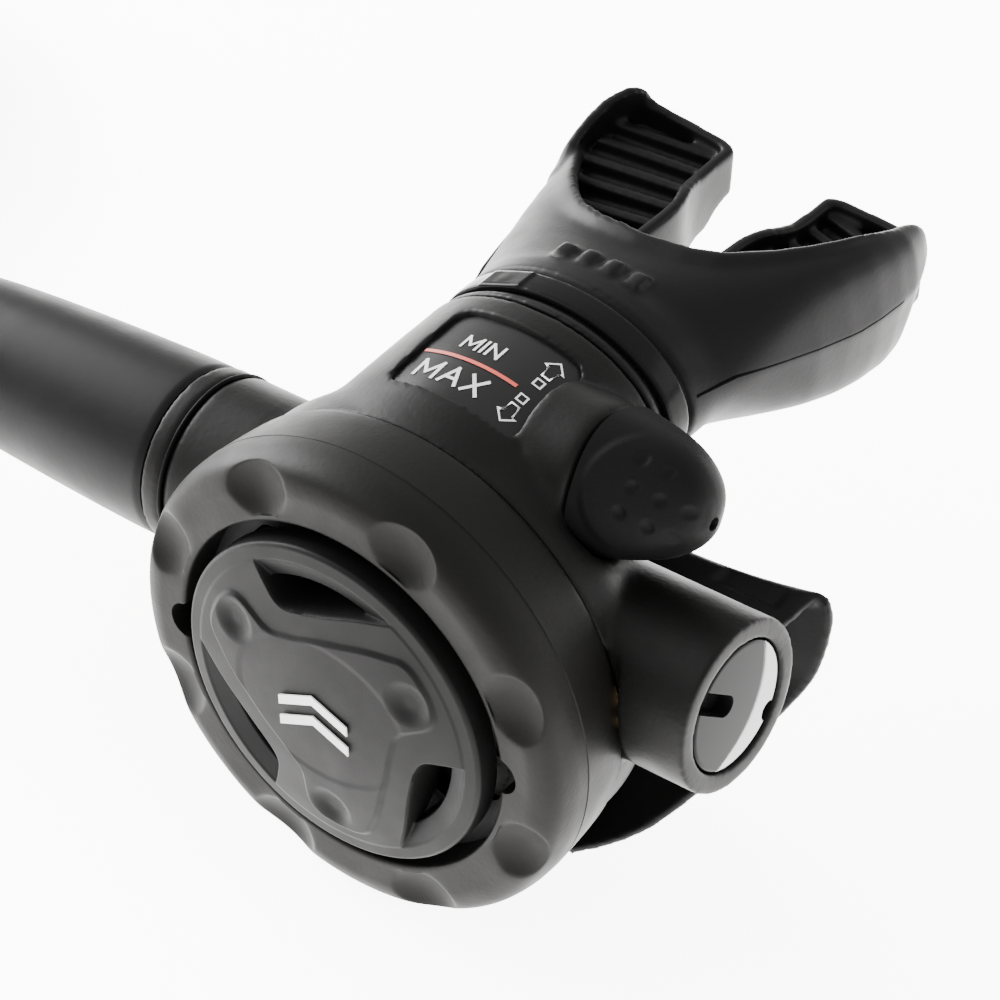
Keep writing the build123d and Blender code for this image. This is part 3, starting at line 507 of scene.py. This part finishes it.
COLLAR = [(15.0, 36.6), (15.0, 48.4), (13.7, 48.4), (13.7, 36.6)]


def make_tee():
    columns = 141
    middle = resample(rounded(TEE_MIDDLE, 2), 80)
    edge = resample(rounded(TEE_EDGE, 2), 80)
    left = resample(rounded(TEE_LEFT, 2), 80)
    t = np.linspace(-1, 1, columns)[:, None]
    out = np.abs(t) ** 2.6
    x = t * np.where(t > 0, edge[:, 0], left[:, 0])
    d = middle[:, 0] + (np.where(t > 0, edge[:, 1], left[:, 1]) - middle[:, 0]) * out
    h = middle[:, 1] + (np.where(t > 0, edge[:, 2], left[:, 2]) - middle[:, 1]) * out
    outer = np.stack([x, d, h], axis=-1)
    du, dv = np.gradient(outer, axis=0), np.gradient(outer, axis=1)
    normal = np.cross(du, dv)
    normal /= np.linalg.norm(normal, axis=-1, keepdims=True)
    inner = outer + normal * TEE_WALL
    if (inner[columns // 2, 40] - outer[columns // 2, 40])[1] > 0:
        inner = outer - normal * TEE_WALL
    loop = np.concatenate([outer, inner[:, ::-1]], axis=1)
    verts, quads = grid(to_row(loop[..., 0], loop[..., 1], loop[..., 2]), around=False, along=True)
    faces = quads.tolist()
    m = loop.shape[1]
    for k in (0, columns - 1):
        for j in range(79):
            a, b = k * m + j, k * m + m - 1 - j
            faces.append([a, a + 1, b - 1, b])
    shell = new_mesh(verts, faces)
    turn = np.linspace(0, 2 * math.pi, 48, endpoint=False)
    collar = [np.stack([r * np.cos(turn), np.full(48, depth), COLLAR_H + r * np.sin(turn)], axis=-1)
              for r, depth in COLLAR]
    collar = np.stack(collar, axis=1)
    v2, q2 = grid(to_row(collar[..., 0], collar[..., 1], collar[..., 2]), around=True, along=True)
    co, faces, edges = remeshed([shell, new_mesh(v2, q2)], 0.4)
    x, d, h = can_coords(co)
    panel = smoothstep(31.6, 32.2, x) * (1 - smoothstep(42.0, 42.6, x))
    panel = panel * smoothstep(43.0, 43.7, d) * (1 - smoothstep(46.4, 47.1, d)) * (h > 5.2)
    co[:, 2] -= 0.35 * panel * MM
    co = smooth(co, edges, 4, np.full(len(co), 0.5))
    return piece("exhaust_deflector", co, faces, "housing", "rubber", "exhaust_tee", sharp=0)


make_tee()

# Venturi knob

KNOB_TOP = [(22.3, 10.6), (27.9, 10.0), (31.4, 9.3), (34.3, 8.2), (36.6, 6.7), (38.2, 5.0), (39.0, 3.4),
            (39.3, 1.2)]
KNOB_LOW = [(22.3, 10.6), (27.0, 9.9), (30.4, 8.7), (34.6, 6.9), (37.2, 4.7), (38.6, 2.6), (39.1, 1.2)]
KNOB_THIN = [(22.3, 10.4), (27, 9.0), (33, 7.0), (36.8, 5.2), (38.4, 3.6), (39.1, 1.6)]
KNOB_DIMPLES = [(29.8, 5.8), (33.5, 5.35), (30.1, 1.9), (34.0, 1.5), (37.7, 1.15), (29.5, -1.9), (33.4, -2.5),
                (36.5, -2.8)]
LEAN = math.radians(32)


def make_knob():
    columns, rows = 260, 170
    v = np.linspace(0, 1, rows)
    along = 22.3 + 17.2 * np.sin(v * math.pi / 2) ** 0.9
    turn = np.linspace(0, 2 * math.pi, columns, endpoint=False)[:, None]
    c, s = np.cos(turn), np.sin(turn)

    def width(stations):
        stations = rounded(stations, 3)
        end = stations[-1, 0] + 0.25
        inner = np.interp(np.minimum(along, stations[-1, 0]), stations[:, 0], stations[:, 1])
        close = np.sqrt(np.clip((end - along) / (end - stations[-1, 0]), 0, 1))
        return np.where(along > stations[-1, 0], inner * close, inner)

    power = 2.35
    bulge = (np.abs(c) ** power + np.abs(s) ** power) ** (-1 / power)
    top, low, thin = width(KNOB_TOP), width(KNOB_LOW), width(KNOB_THIN)
    w = np.where(c > 0, top, low) * c * bulge
    t = thin * s * bulge
    x = np.broadcast_to(along, w.shape).copy()
    pad = smoothstep(0.35, 0.8, s) * (1 - smoothstep(8.2, 9.6, np.hypot(x - 32.5, (w - 0.8) * 0.95)))
    t = t + 0.35 * pad
    for dx, dw in KNOB_DIMPLES:
        q = np.hypot(x - dx, w - dw)
        t = t - np.where(s > 0.2, 0.38 * (1 - smoothstep(0.2, 1.25, q)), 0)
    x -= 1.4 * (1 - smoothstep(0.7, 1.05, np.hypot(w, t))) * (x > 37)
    d = 33.7 + w * math.sin(LEAN) - t * math.cos(LEAN)
    h = 26.6 + w * math.cos(LEAN) + t * math.sin(LEAN)
    verts, quads = grid(to_row(x, d, h), around=True, flip=True)
    faces = quads.tolist()
    faces.append([k * rows + rows - 1 for k in range(columns)])
    faces.append([k * rows for k in range(columns)][::-1])
    return piece("knob", verts, faces, "venturi", "knob_rubber", "venturi_knob", sharp=60)


make_knob()

# Mouthpiece

NECK_H = 23.8
# Stations of (depth, half-width, half-height)
BODY = np.array([(46.8, 20.3, 14.2), (48.4, 20.1, 14.0), (48.9, 19.2, 13.1), (54.2, 19.2, 13.1),
                 (54.8, 20.4, 14.2), (58, 21.4, 14.0), (61, 22.4, 13.4), (66, 24.0, 12.7), (70, 25.2, 12.5),
                 (76, 26.9, 12.7), (82, 28.1, 12.9), (88, 28.9, 13.0), (93, 29.1, 13.0), (97, 28.7, 12.9),
                 (101, 27.2, 12.7), (104.5, 25.4, 12.5)])
# Depth of the rim by share of the half-width, for most of the flange and for its upper left quarter
RIM = np.array([(0, 70.6), (0.33, 71.7), (0.513, 73.6), (0.60, 76.0), (0.678, 78.2), (0.761, 82.4),
                (0.81, 86.4), (0.842, 90.4), (0.86, 94.0), (0.874, 96.8), (0.892, 98.8), (0.917, 100.4),
                (0.945, 101.6), (0.975, 102.5), (0.99, 103.0), (1, 103.4)])
RIM_LEFT = np.array([(0, 70.6), (0.33, 71.7), (0.513, 73.6), (0.60, 75.4), (0.678, 77.4), (0.743, 79.4),
                     (0.81, 82.0), (0.877, 85.2), (0.94, 88.8), (0.98, 91.4), (1, 92.6)])
# Height of the left lobe's edge, and of the mould line's crest, by depth
FLAP = np.array([(84, 4.8), (88, 4.7), (91, 5.1), (93, 5.7), (97, 7.3), (99, 8.1), (101, 8.5), (102.5, 8.1),
                 (103.6, 7.0), (104.3, 5.6)])
CREST = np.array([(54, 2.2), (62, 2.6), (72, 1.3), (84, -0.3), (93, -0.3), (100, 0.4), (104, 1.0)])


def twist(depth):
    """How far the soft flange has turned on its neck at a depth, left side up."""
    return math.radians(6) * smoothstep(70, 98, depth)


def crest_height(depth, side):
    return np.interp(depth, CREST[:, 0], CREST[:, 1]) + side * 28 * np.sin(twist(depth))


def twisted(x, depth, height):
    turn, tall = twist(depth), height - NECK_H
    return to_row(x * np.cos(turn) + tall * np.sin(turn), depth, NECK_H + tall * np.cos(turn) - x * np.sin(turn))


def mouth_shell():
    """The closed skin of sleeve and flange, outside and in, with the airway through it."""
    columns = 1440
    turn = np.linspace(0, 2 * math.pi, columns, endpoint=False)[:, None]
    c, s = np.cos(turn), np.sin(turn)

    left_top = smoothstep(-0.12, 0.05, s) * (c < 0)
    right_top = (c > 0) & (s > 0)

    def walk(depth):
        power = 2 + np.where((c < 0) & (s > 0), 0, 6) * smoothstep(60, 88, depth)
        return (np.abs(c) ** power + np.abs(s) ** power) ** (-1 / power)

    def skin(depth, inset_x, inset_h, crest=0.0):
        r = walk(depth)
        a = np.interp(depth, BODY[:, 0], BODY[:, 1]) - inset_x
        tall = s * r * (np.interp(depth, BODY[:, 0], BODY[:, 2]) - inset_h)
        tall *= 1 - 0.2 * right_top * smoothstep(88, 103, depth) - 0.28 * (s < 0) * smoothstep(93, 104, depth)
        ridge = np.abs(tall - crest_height(depth, np.sign(c))) / 13
        return np.stack([c * r * (a - crest * ridge), depth, NECK_H + tall], axis=-1)

    rim = np.full_like(c, 85.0)
    for _ in range(12):
        across = np.abs(c) * walk(rim)
        reach = np.interp(across, RIM[:, 0], RIM[:, 1])
        reach += left_top * (np.interp(across, RIM_LEFT[:, 0], RIM_LEFT[:, 1]) - reach)
        rim = 0.5 * rim + 0.5 * reach
    out_neck = skin(np.broadcast_to(BODY[:5, 0], (columns, 5)), 0, 0)
    v = np.linspace(0, 1, 90)
    depth = 58 + (rim - 58) * v
    flare = 0.9 * smoothstep(0.72, 0.96, v)
    out_body = skin(depth, -0.2 * flare, -flare, 2.0 * smoothstep(55, 60, depth))
    in_back = np.minimum(rim - 2.2, 74.0)
    back_at = np.linspace(0, 1, 40)
    in_depth = rim - (rim - in_back) * back_at
    near_rim = 1 - smoothstep(0.0, 0.12, back_at)
    in_body = skin(in_depth, 2.2 - 0.8 * near_rim, 1.5 - 1.0 * near_rim, 2.0)
    airway = [np.stack([15.2 * c, z + 0 * c, NECK_H + 8.6 * s], axis=-1) for z in (69.5, 60.0)]
    spigot = [np.stack([17.65 * c, z + 0 * c, NECK_H + 11.45 * s], axis=-1) for z in (60.0, 46.8)]
    points = np.concatenate([out_neck, out_body, in_body, *airway, *spigot], axis=1)
    verts, quads = grid(to_row(points[..., 0], points[..., 1], points[..., 2]), around=True, along=True)
    return new_mesh(verts, quads)


def left_flap():
    """The tall lobe that carries the left flank of the flange on past its arch."""
    loops = []
    for depth in np.linspace(84, 104.3, 64):
        tall = np.linspace(-4, np.interp(depth, FLAP[:, 0], FLAP[:, 1]), 41)
        power = 2 + 4 * smoothstep(85, 97, depth)
        half, high = (np.interp(depth, BODY[:, 0], BODY[:, k]) for k in (1, 2))
        out = half * (1 - (np.abs(tall) / high) ** power) ** (1 / power)
        across = np.concatenate([-out, 1.7 - out[::-1]])
        loops.append(np.stack([across, np.full(82, depth), NECK_H + np.concatenate([tall, tall[::-1]])], axis=-1))
    points = np.stack(loops)
    verts, quads = grid(to_row(points[..., 0], points[..., 1], points[..., 2]), around=False, along=True)
    ends = [[k for k in range(82)], [63 * 82 + k for k in range(82)][::-1]]
    return new_mesh(verts, quads.tolist() + ends)


def wall_between(low_line, high_line, thick):
    """A standing wall whose foot and head follow lines of (x, depth, height)."""
    low_line, high_line = np.array(low_line, float), np.array(high_line, float)
    run = np.gradient(low_line[:, :2], axis=0)
    side = np.stack([-run[:, 1], run[:, 0]], axis=1)
    side /= np.linalg.norm(side, axis=1)[:, None]
    rows = []
    for line, sign in ((low_line, 1), (high_line, 1), (high_line, -1), (low_line, -1)):
        p = line.copy()
        p[:, :2] += side * sign * thick / 2
        rows.append(p)
    points = np.stack(rows, axis=1)
    verts, quads = grid(to_row(points[..., 0], points[..., 1], points[..., 2]), around=False, along=True)
    n = len(low_line)
    faces = quads.tolist() + [[0, 1, 2, 3], [4 * n - 1, 4 * n - 2, 4 * n - 3, 4 * n - 4]]
    return new_mesh(verts, faces)


def standing(line, side, bottom, top, thick):
    """A wall along a line of (x, depth), mirrored to a side, between two heights above the neck's middle."""
    low, high = line.copy(), line.copy()
    low[:, 2], high[:, 2] = NECK_H + bottom, NECK_H + top
    low[:, 0] *= side
    high[:, 0] *= side
    return wall_between(low, high, thick)


def bite_tab(side):
    """One bite tab: a plate with ribs, framed by an inner wall and an end wall."""
    def mirror(points):
        return [(side * x, *rest) for x, *rest in points]

    plate = mirror([(6.6, 78), (14, 76), (24, 82), (27, 92), (25.4, 102.6), (9.8, 103.8), (9.2, 99), (8.4, 92),
                    (6.6, 86)])
    parts = [slab(plate, NECK_H - 1.3, NECK_H + 1.3)]
    for near in (79.6, 84.2, 88.8, 93.4, 98.0):
        start = 9.4 if near > 86 else 7.4
        lean = 3.2 * (26.4 - start) / 17.5
        bar = mirror([(start, near + lean), (26.4, near), (26.4, near + 1.9), (start, near + lean + 1.9)])
        parts.append(slab(bar, NECK_H - 3.4, NECK_H + 3.4))
    path = rounded([(6.4, 76.0, 0), (6.2, 84.6, 0), (6.6, 87.4, 0), (7.6, 90.0, 0), (8.6, 93.0, 0),
                    (9.0, 98.0, 0),
                    (9.0, 103.0, 0)], 3)
    bottom = -6.3 + 3.0 * smoothstep(95, 103, path[:, 1])
    parts.append(standing(path, side, bottom, 6.3 - 1.3 * smoothstep(88, 96, path[:, 1]), 1.9))
    end = rounded([(9.0, 102.6, 0), (10.2, 103.5, 0), (16, 103.8, 0), (21, 103.8, 0), (25.4, 103.3, 0)], 3)
    bottom = -3.3 - 2.6 * smoothstep(10, 18, end[:, 0])
    parts.append(standing(end, side, bottom, 5.0 + 0.6 * smoothstep(18, 25, end[:, 0]), 1.7))
    return parts


def make_mouthpiece():
    """Sleeve, flange and bite tabs as one skin, with four plain bars raised on top."""
    parts = [mouth_shell(), left_flap(), *bite_tab(1), *bite_tab(-1)]
    for x in (-6.2, -2.0, 2.2, 6.4):
        top = NECK_H + 13.95 * math.sqrt(1 - (x / 22) ** 2)
        bar = [(x - 1.2, 59.3), (x + 1.2, 59.3), (x + 1.2, 62.4), (x - 1.2, 62.4)]
        parts.append(slab(bar, top - 2, top + 0.45))
    co, faces, edges = remeshed(parts, 0.4)
    x, d, h = can_coords(co)
    weight = np.where(d > 58, 0.5, 0.3)
    x, d, h = can_coords(smooth(co, edges, 6, weight))
    co = twisted(x, d, h)
    return piece("mouthpiece_skin", co, faces, "housing", "silicone", "mouthpiece", sharp=0)


make_mouthpiece()


def make_parting_line():
    """The fine mould line along both flanks of the mouthpiece, drawn as a thin strip in a darker finish: painted
    shade of its groove.
    """
    depth = np.linspace(55.6, 102.4, 120)
    side_x = np.interp(depth, BODY[:, 0], BODY[:, 1]) - 0.05
    verts, faces = [], []
    for side in (1, -1):
        tall = NECK_H + crest_height(depth, side)
        rows = [twisted(side * (side_x + proud), depth, tall + lift)
                for proud, lift in ((-0.7, 0.24), (0.0, 0.2), (0.0, -0.2), (-0.7, -0.24))]
        line, quads = grid(np.stack(rows, axis=1), around=False, along=True)
        faces += (quads + len(verts)).tolist()
        verts += line.tolist()
    # The darker o_ring finish is painted shade in the mould line's groove.
    return piece("parting_line_painted_shade", verts, faces, "housing", "o_ring", sharp=0)


make_parting_line()

# Band clamp

# The tie's head and its strap's end: (x, height above the neck's middle), slant, length, rise, depths
CLAMP_BLOCKS = [((-18.1, -7.5), 129.4, 6.4, 1.8, 48.9, 54.2), ((-9.6, 12.3), 20.5, 9.0, 0.35, 49.5, 53.6)]


def make_clamp():
    turn = np.linspace(0, 2 * math.pi, 240, endpoint=False)[:, None]
    section = np.array([(19.25, 13.15, 49.4), (20.2, 14.1, 49.3), (20.5, 14.3, 49.6), (20.55, 14.35, 51.5),
                        (20.5, 14.3, 53.5), (20.2, 14.1, 53.8), (19.25, 13.15, 53.7)])
    x, h = section[:, 0] * np.cos(turn), NECK_H + section[:, 1] * np.sin(turn)
    verts, quads = grid(to_row(x, np.broadcast_to(section[:, 2], x.shape), h), around=True, along=True)
    parts = [new_mesh(verts, quads)]
    for centre, slant, run, rise, near, far in CLAMP_BLOCKS:
        tilt = math.radians(slant)
        corners = [(-run / 2, -1.2), (run / 2, -1.2), (run / 2 - 0.5, rise), (-run / 2 + 0.9, rise * 0.8)]
        outline = [(centre[0] + a * math.cos(tilt) - b * math.sin(tilt),
                    NECK_H + centre[1] + a * math.sin(tilt) + b * math.cos(tilt)) for a, b in corners]
        parts.append(slab(outline, near, far, "d"))
    co, faces, edges = remeshed(parts, 0.25)
    co = smooth(co, edges, 4, np.full(len(co), 0.5))
    return piece("band_clamp", co, faces, "housing", "gloss_plastic", "mouthpiece_clamp", sharp=0)


make_clamp()

# Barrel end plug

PLUG_FACE = 47.98
# From (u, v) to (u, v), half-width
PLUG_SLOTS = [((-9.4, 7.2), (-2.7, 2.0), 1.5), ((10.5, -8.5), (7.2, -5.8), 1.4)]


def make_plug():
    turn = np.linspace(0, 2 * math.pi, 480, endpoint=False)[:, None]
    r = np.concatenate([np.linspace(0.1, 9.2, 90), 9.2 + 0.55 * np.sin(np.linspace(0.15, math.pi / 2, 8))])
    u, v = r * np.cos(turn), r * np.sin(turn)
    seam = rounded([(-9.6, -9.0), (-8.5, -5.4), (-5.4, 1.7), (0.6, 6.0), (7.0, 6.9), (9.6, 6.6)], 4)
    seam_u = np.interp(v, seam[:, 0], seam[:, 1])
    groove = 0.1 * np.exp(-((u - seam_u) / 0.22) ** 2)
    x = PLUG_FACE - 0.002 * (u**2 + v**2) - 0.02 * np.maximum(u - seam_u, 0) - groove
    x[:, 90:] -= 0.3 * (1 - np.cos(np.linspace(0.15, math.pi / 2, 8)))
    for (u0, v0), (u1, v1), half in PLUG_SLOTS:
        run = np.clip(((u - u0) * (u1 - u0) + (v - v0) * (v1 - v0)) / ((u1 - u0) ** 2 + (v1 - v0) ** 2), 0, 1)
        gap = np.hypot(u - u0 - run * (u1 - u0), v - v0 - run * (v1 - v0))
        x -= 2.4 * (1 - smoothstep(half - 0.12, half + 0.12, gap))
    u = np.hstack([u, 9.75 * np.cos(turn)])
    v = np.hstack([v, 9.75 * np.sin(turn)])
    x = np.hstack([x, np.full((480, 1), 42.0)])
    verts, quads = grid(to_row(x, 26.9 + u, 3.4 + v), around=True)
    beyond_seam = np.hstack([u[:, :98] - seam_u > 0, np.zeros((480, 1), bool)]).reshape(-1)[quads].all(axis=1)
    faces = quads[~beyond_seam].tolist() + [[k * x.shape[1] for k in range(480)][::-1]]
    piece("end_plug", verts, faces, "housing", "gloss_plastic", "barrel_end_plug", sharp=35)
    # Beyond the seam the plug is the same plastic, sloped a little; its far lighter colour there is a painted
    # reflection on the convex side.
    reflection_piece = piece("plug_painted_reflection", verts, quads[beyond_seam].tolist(), "housing", "gloss_plastic", sharp=35)
    reflection_piece.data.materials[0] = black("painted_reflection_finish", 0.09, 0.14, 900, 0.05, spec=0.9)


make_plug()

# Label marks, laid on the label plate

plate = frame["nodes"]["label_plate"].data
PLATE = BVHTree.FromPolygons([v.co[:] for v in plate.vertices], [p.vertices[:] for p in plate.polygons])


def on_plate(x, depth, lift):
    hit = PLATE.ray_cast(Vector((x * MM, (FRONT_Y + depth) * MM, 0.12)), Vector((0, 0, -1)))[0]
    return (x * MM, (FRONT_Y + depth) * MM, hit.z + lift * MM)


# Width and strokes of each letter, for a height of one
LETTERS = {"M": (1.0, [[(0, 0), (0, 1), (0.5, 0.25), (1, 1), (1, 0)]]), "I": (0.0, [[(0, 0), (0, 1)]]),
           "N": (0.8, [[(0, 0), (0, 1), (0.8, 0), (0.8, 1)]]),
           "X": (0.8, [[(0, 0), (0.8, 1)], [(0, 1), (0.8, 0)]]),
           "A": (0.9, [[(0, 0), (0.45, 1), (0.9, 0)], [(0.16, 0.34), (0.74, 0.34)]])}
PEN = 0.085
SPACING = 0.38


def word(text, tall, x, depth):
    """Letters drawn with straight strokes, as (points, faces) centred at a place."""
    width = sum(LETTERS[k][0] for k in text) + SPACING * (len(text) - 1)
    pen, points, faces = -width / 2, [], []
    for letter in text:
        advance, strokes = LETTERS[letter]
        for stroke in strokes:
            for (x0, y0), (x1, y1) in zip(stroke, stroke[1:]):
                long = math.hypot(x1 - x0, y1 - y0)
                ex, ey = PEN * (x1 - x0) / long, PEN * (y1 - y0) / long
                corners = [(x0 - ex - ey, y0 - ey + ex), (x0 - ex + ey, y0 - ey - ex),
                           (x1 + ex + ey, y1 + ey - ex), (x1 + ex - ey, y1 + ey + ex)]
                faces.append([len(points) + k for k in range(4)])
                points += [(x + (pen + a) * tall, depth + (b - 0.5) * tall) for a, b in corners]
        pen += advance + SPACING
    return points, faces


def outline_strip(corners, width):
    """A closed line of some width round a shape's corners, as (points, faces)."""
    corners = np.array(corners, float)
    middle = corners.mean(0)
    n = len(corners)
    before, after = np.roll(corners, 1, 0) - corners, np.roll(corners, -1, 0) - corners
    before /= np.linalg.norm(before, axis=1)[:, None]
    after /= np.linalg.norm(after, axis=1)[:, None]
    side = np.stack([-after[:, 1], after[:, 0]], axis=1)
    side *= np.sign(np.sum(side * (middle - corners), axis=1))[:, None]
    turn = np.abs(before[:, 0] * after[:, 1] - before[:, 1] * after[:, 0])
    bisect = before + after
    bisect /= np.maximum(np.linalg.norm(bisect, axis=1), 1e-6)[:, None]
    reach = width / np.maximum(np.sqrt((1 - np.sum(before * after, axis=1)) / 2), 0.3)
    inner = corners + bisect * reach[:, None]
    points = [tuple(p) for p in corners] + [tuple(p) for p in inner]
    faces = [[k, (k + 1) % n, n + (k + 1) % n, n + k] for k in range(n) if turn[k] > 0]
    return points, faces


def make_marks(name, shapes, slot, *nodes):
    verts, faces = [], []
    for points, polygons in shapes:
        start = len(verts)
        verts += [on_plate(x, d, 0.12) for x, d in points]
        faces += [[start + k for k in polygon] for polygon in polygons]
    return piece(name, verts, faces, "housing", slot, *nodes, sharp=0)


make_marks("label_words", [word("MIN", 2.4, -1.6, 36.3), word("MAX", 3.1, -1.8, 29.3)], "white_ink")
arrows = []
for way in (1, -1):
    head = [(-0.75, 3.2), (-0.75, 5.3), (-1.7, 5.3), (0, 7.0), (1.7, 5.3), (0.75, 5.3), (0.75, 3.2)]
    box = [(-0.75, 1.1), (-0.75, 2.6), (0.75, 2.6), (0.75, 1.1)]
    for shape in (head, box):
        arrows.append(outline_strip([(8.6 + x, 33.6 + way * d) for x, d in shape], 0.26))
make_marks("label_arrow_marks", arrows, "white_ink", "label_arrows")
along = np.linspace(-9.2, 6.8, 40)
stripe = [(x, 32.9 + side * 0.32) for x in along for side in (1, -1)]
quads = [[2 * k, 2 * k + 1, 2 * k + 3, 2 * k + 2] for k in range(len(along) - 1)]
make_marks("label_line", [(stripe, quads)], "red_ink", "label_stripe")

# Hose sleeve


def turned(name, profile, body, slot, *nodes, columns=160, sharp=35):
    """A piece turned about the barrel's axis from a closed line of (x, radius)."""
    profile = np.asarray(profile, float)
    turn = np.linspace(0, 2 * math.pi, columns, endpoint=False)[:, None]
    x = np.broadcast_to(profile[:, 0], (columns, len(profile)))
    y = TUBE[0] + profile[:, 1] * np.cos(turn)
    z = TUBE[1] + profile[:, 1] * np.sin(turn)
    verts, quads = grid(np.stack([x * MM, y * MM, z * MM], axis=-1), around=True, along=True)
    return piece(name, verts, quads.tolist(), body, slot, *nodes, sharp=sharp)


SLEEVE = rounded([(-48.3, 10.5), (-48.3, 13.1), (-48.7, 13.5), (-66, 12.95), (-88, 11.7), (-105, 9.6),
                  (-116.8, 7.6), (-118, 7.2), (-118, 6.1)], 2)
INSIDE = [(-86, 6.1), (-84.5, 6.9), (-64.5, 6.9), (-61.6, 10.4)]
turned("sleeve", np.vstack([resample(SLEEVE, 90), INSIDE]), "hose_end", "hose_rubber", "hose_sleeve")

# The hose as a cord

hose.data.materials.append(MATS["hose_rubber"])
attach(hose, "housing")
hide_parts("hose", "hose_coil", "hose_tail")

# Floor and light

FLOOR_HALF = 6.0
FLOOR_Z = -0.0002
FLOOR_GLOW = 8.0
corners = [(a * FLOOR_HALF, b * FLOOR_HALF, FLOOR_Z) for a, b in ((-1, -1), (1, -1), (1, 1), (-1, 1))]
floor_mesh = bpy.data.meshes.new("floor")
floor_mesh.from_pydata(corners, [], [(0, 1, 2, 3)])
floor_mesh.materials.append(material(
    "floor_finish", (0.86, 0.85, 0.84), (0.9, 0.89, 0.88), (0.6, 0.7), 40, 0.02, 2, glow=FLOOR_GLOW))
floor = bpy.data.objects.new("floor", floor_mesh)
bpy.context.scene.collection.objects.link(floor)
LAMP_TARGET = (0, 0, 0.04)
WORLD_LIGHT = 2.2


def lamp(name, power, size, place):
    """A soft square light turned to the middle of the object."""
    data = bpy.data.lights.new(name, "AREA")
    data.energy = power
    data.size = size
    obj = bpy.data.objects.new(name, data)
    obj.location = place
    obj.rotation_euler = (Vector(LAMP_TARGET) - Vector(place)).to_track_quat("-Z", "Y").to_euler()
    bpy.context.scene.collection.objects.link(obj)


lamp("key", 9, 0.9, (-0.7, -0.5, 1.1))
lamp("rim_left", 60, 0.7, (-1.0, 0.1, 0.45))
lamp("rim_right", 4, 0.6, (0.9, 0.9, 0.5))
world = bpy.data.worlds.new("world")
world.use_nodes = True
world.node_tree.nodes["Background"].inputs["Color"].default_value = (1, 0.99, 0.985, 1)
world.node_tree.nodes["Background"].inputs["Strength"].default_value = WORLD_LIGHT
bpy.context.scene.world = world
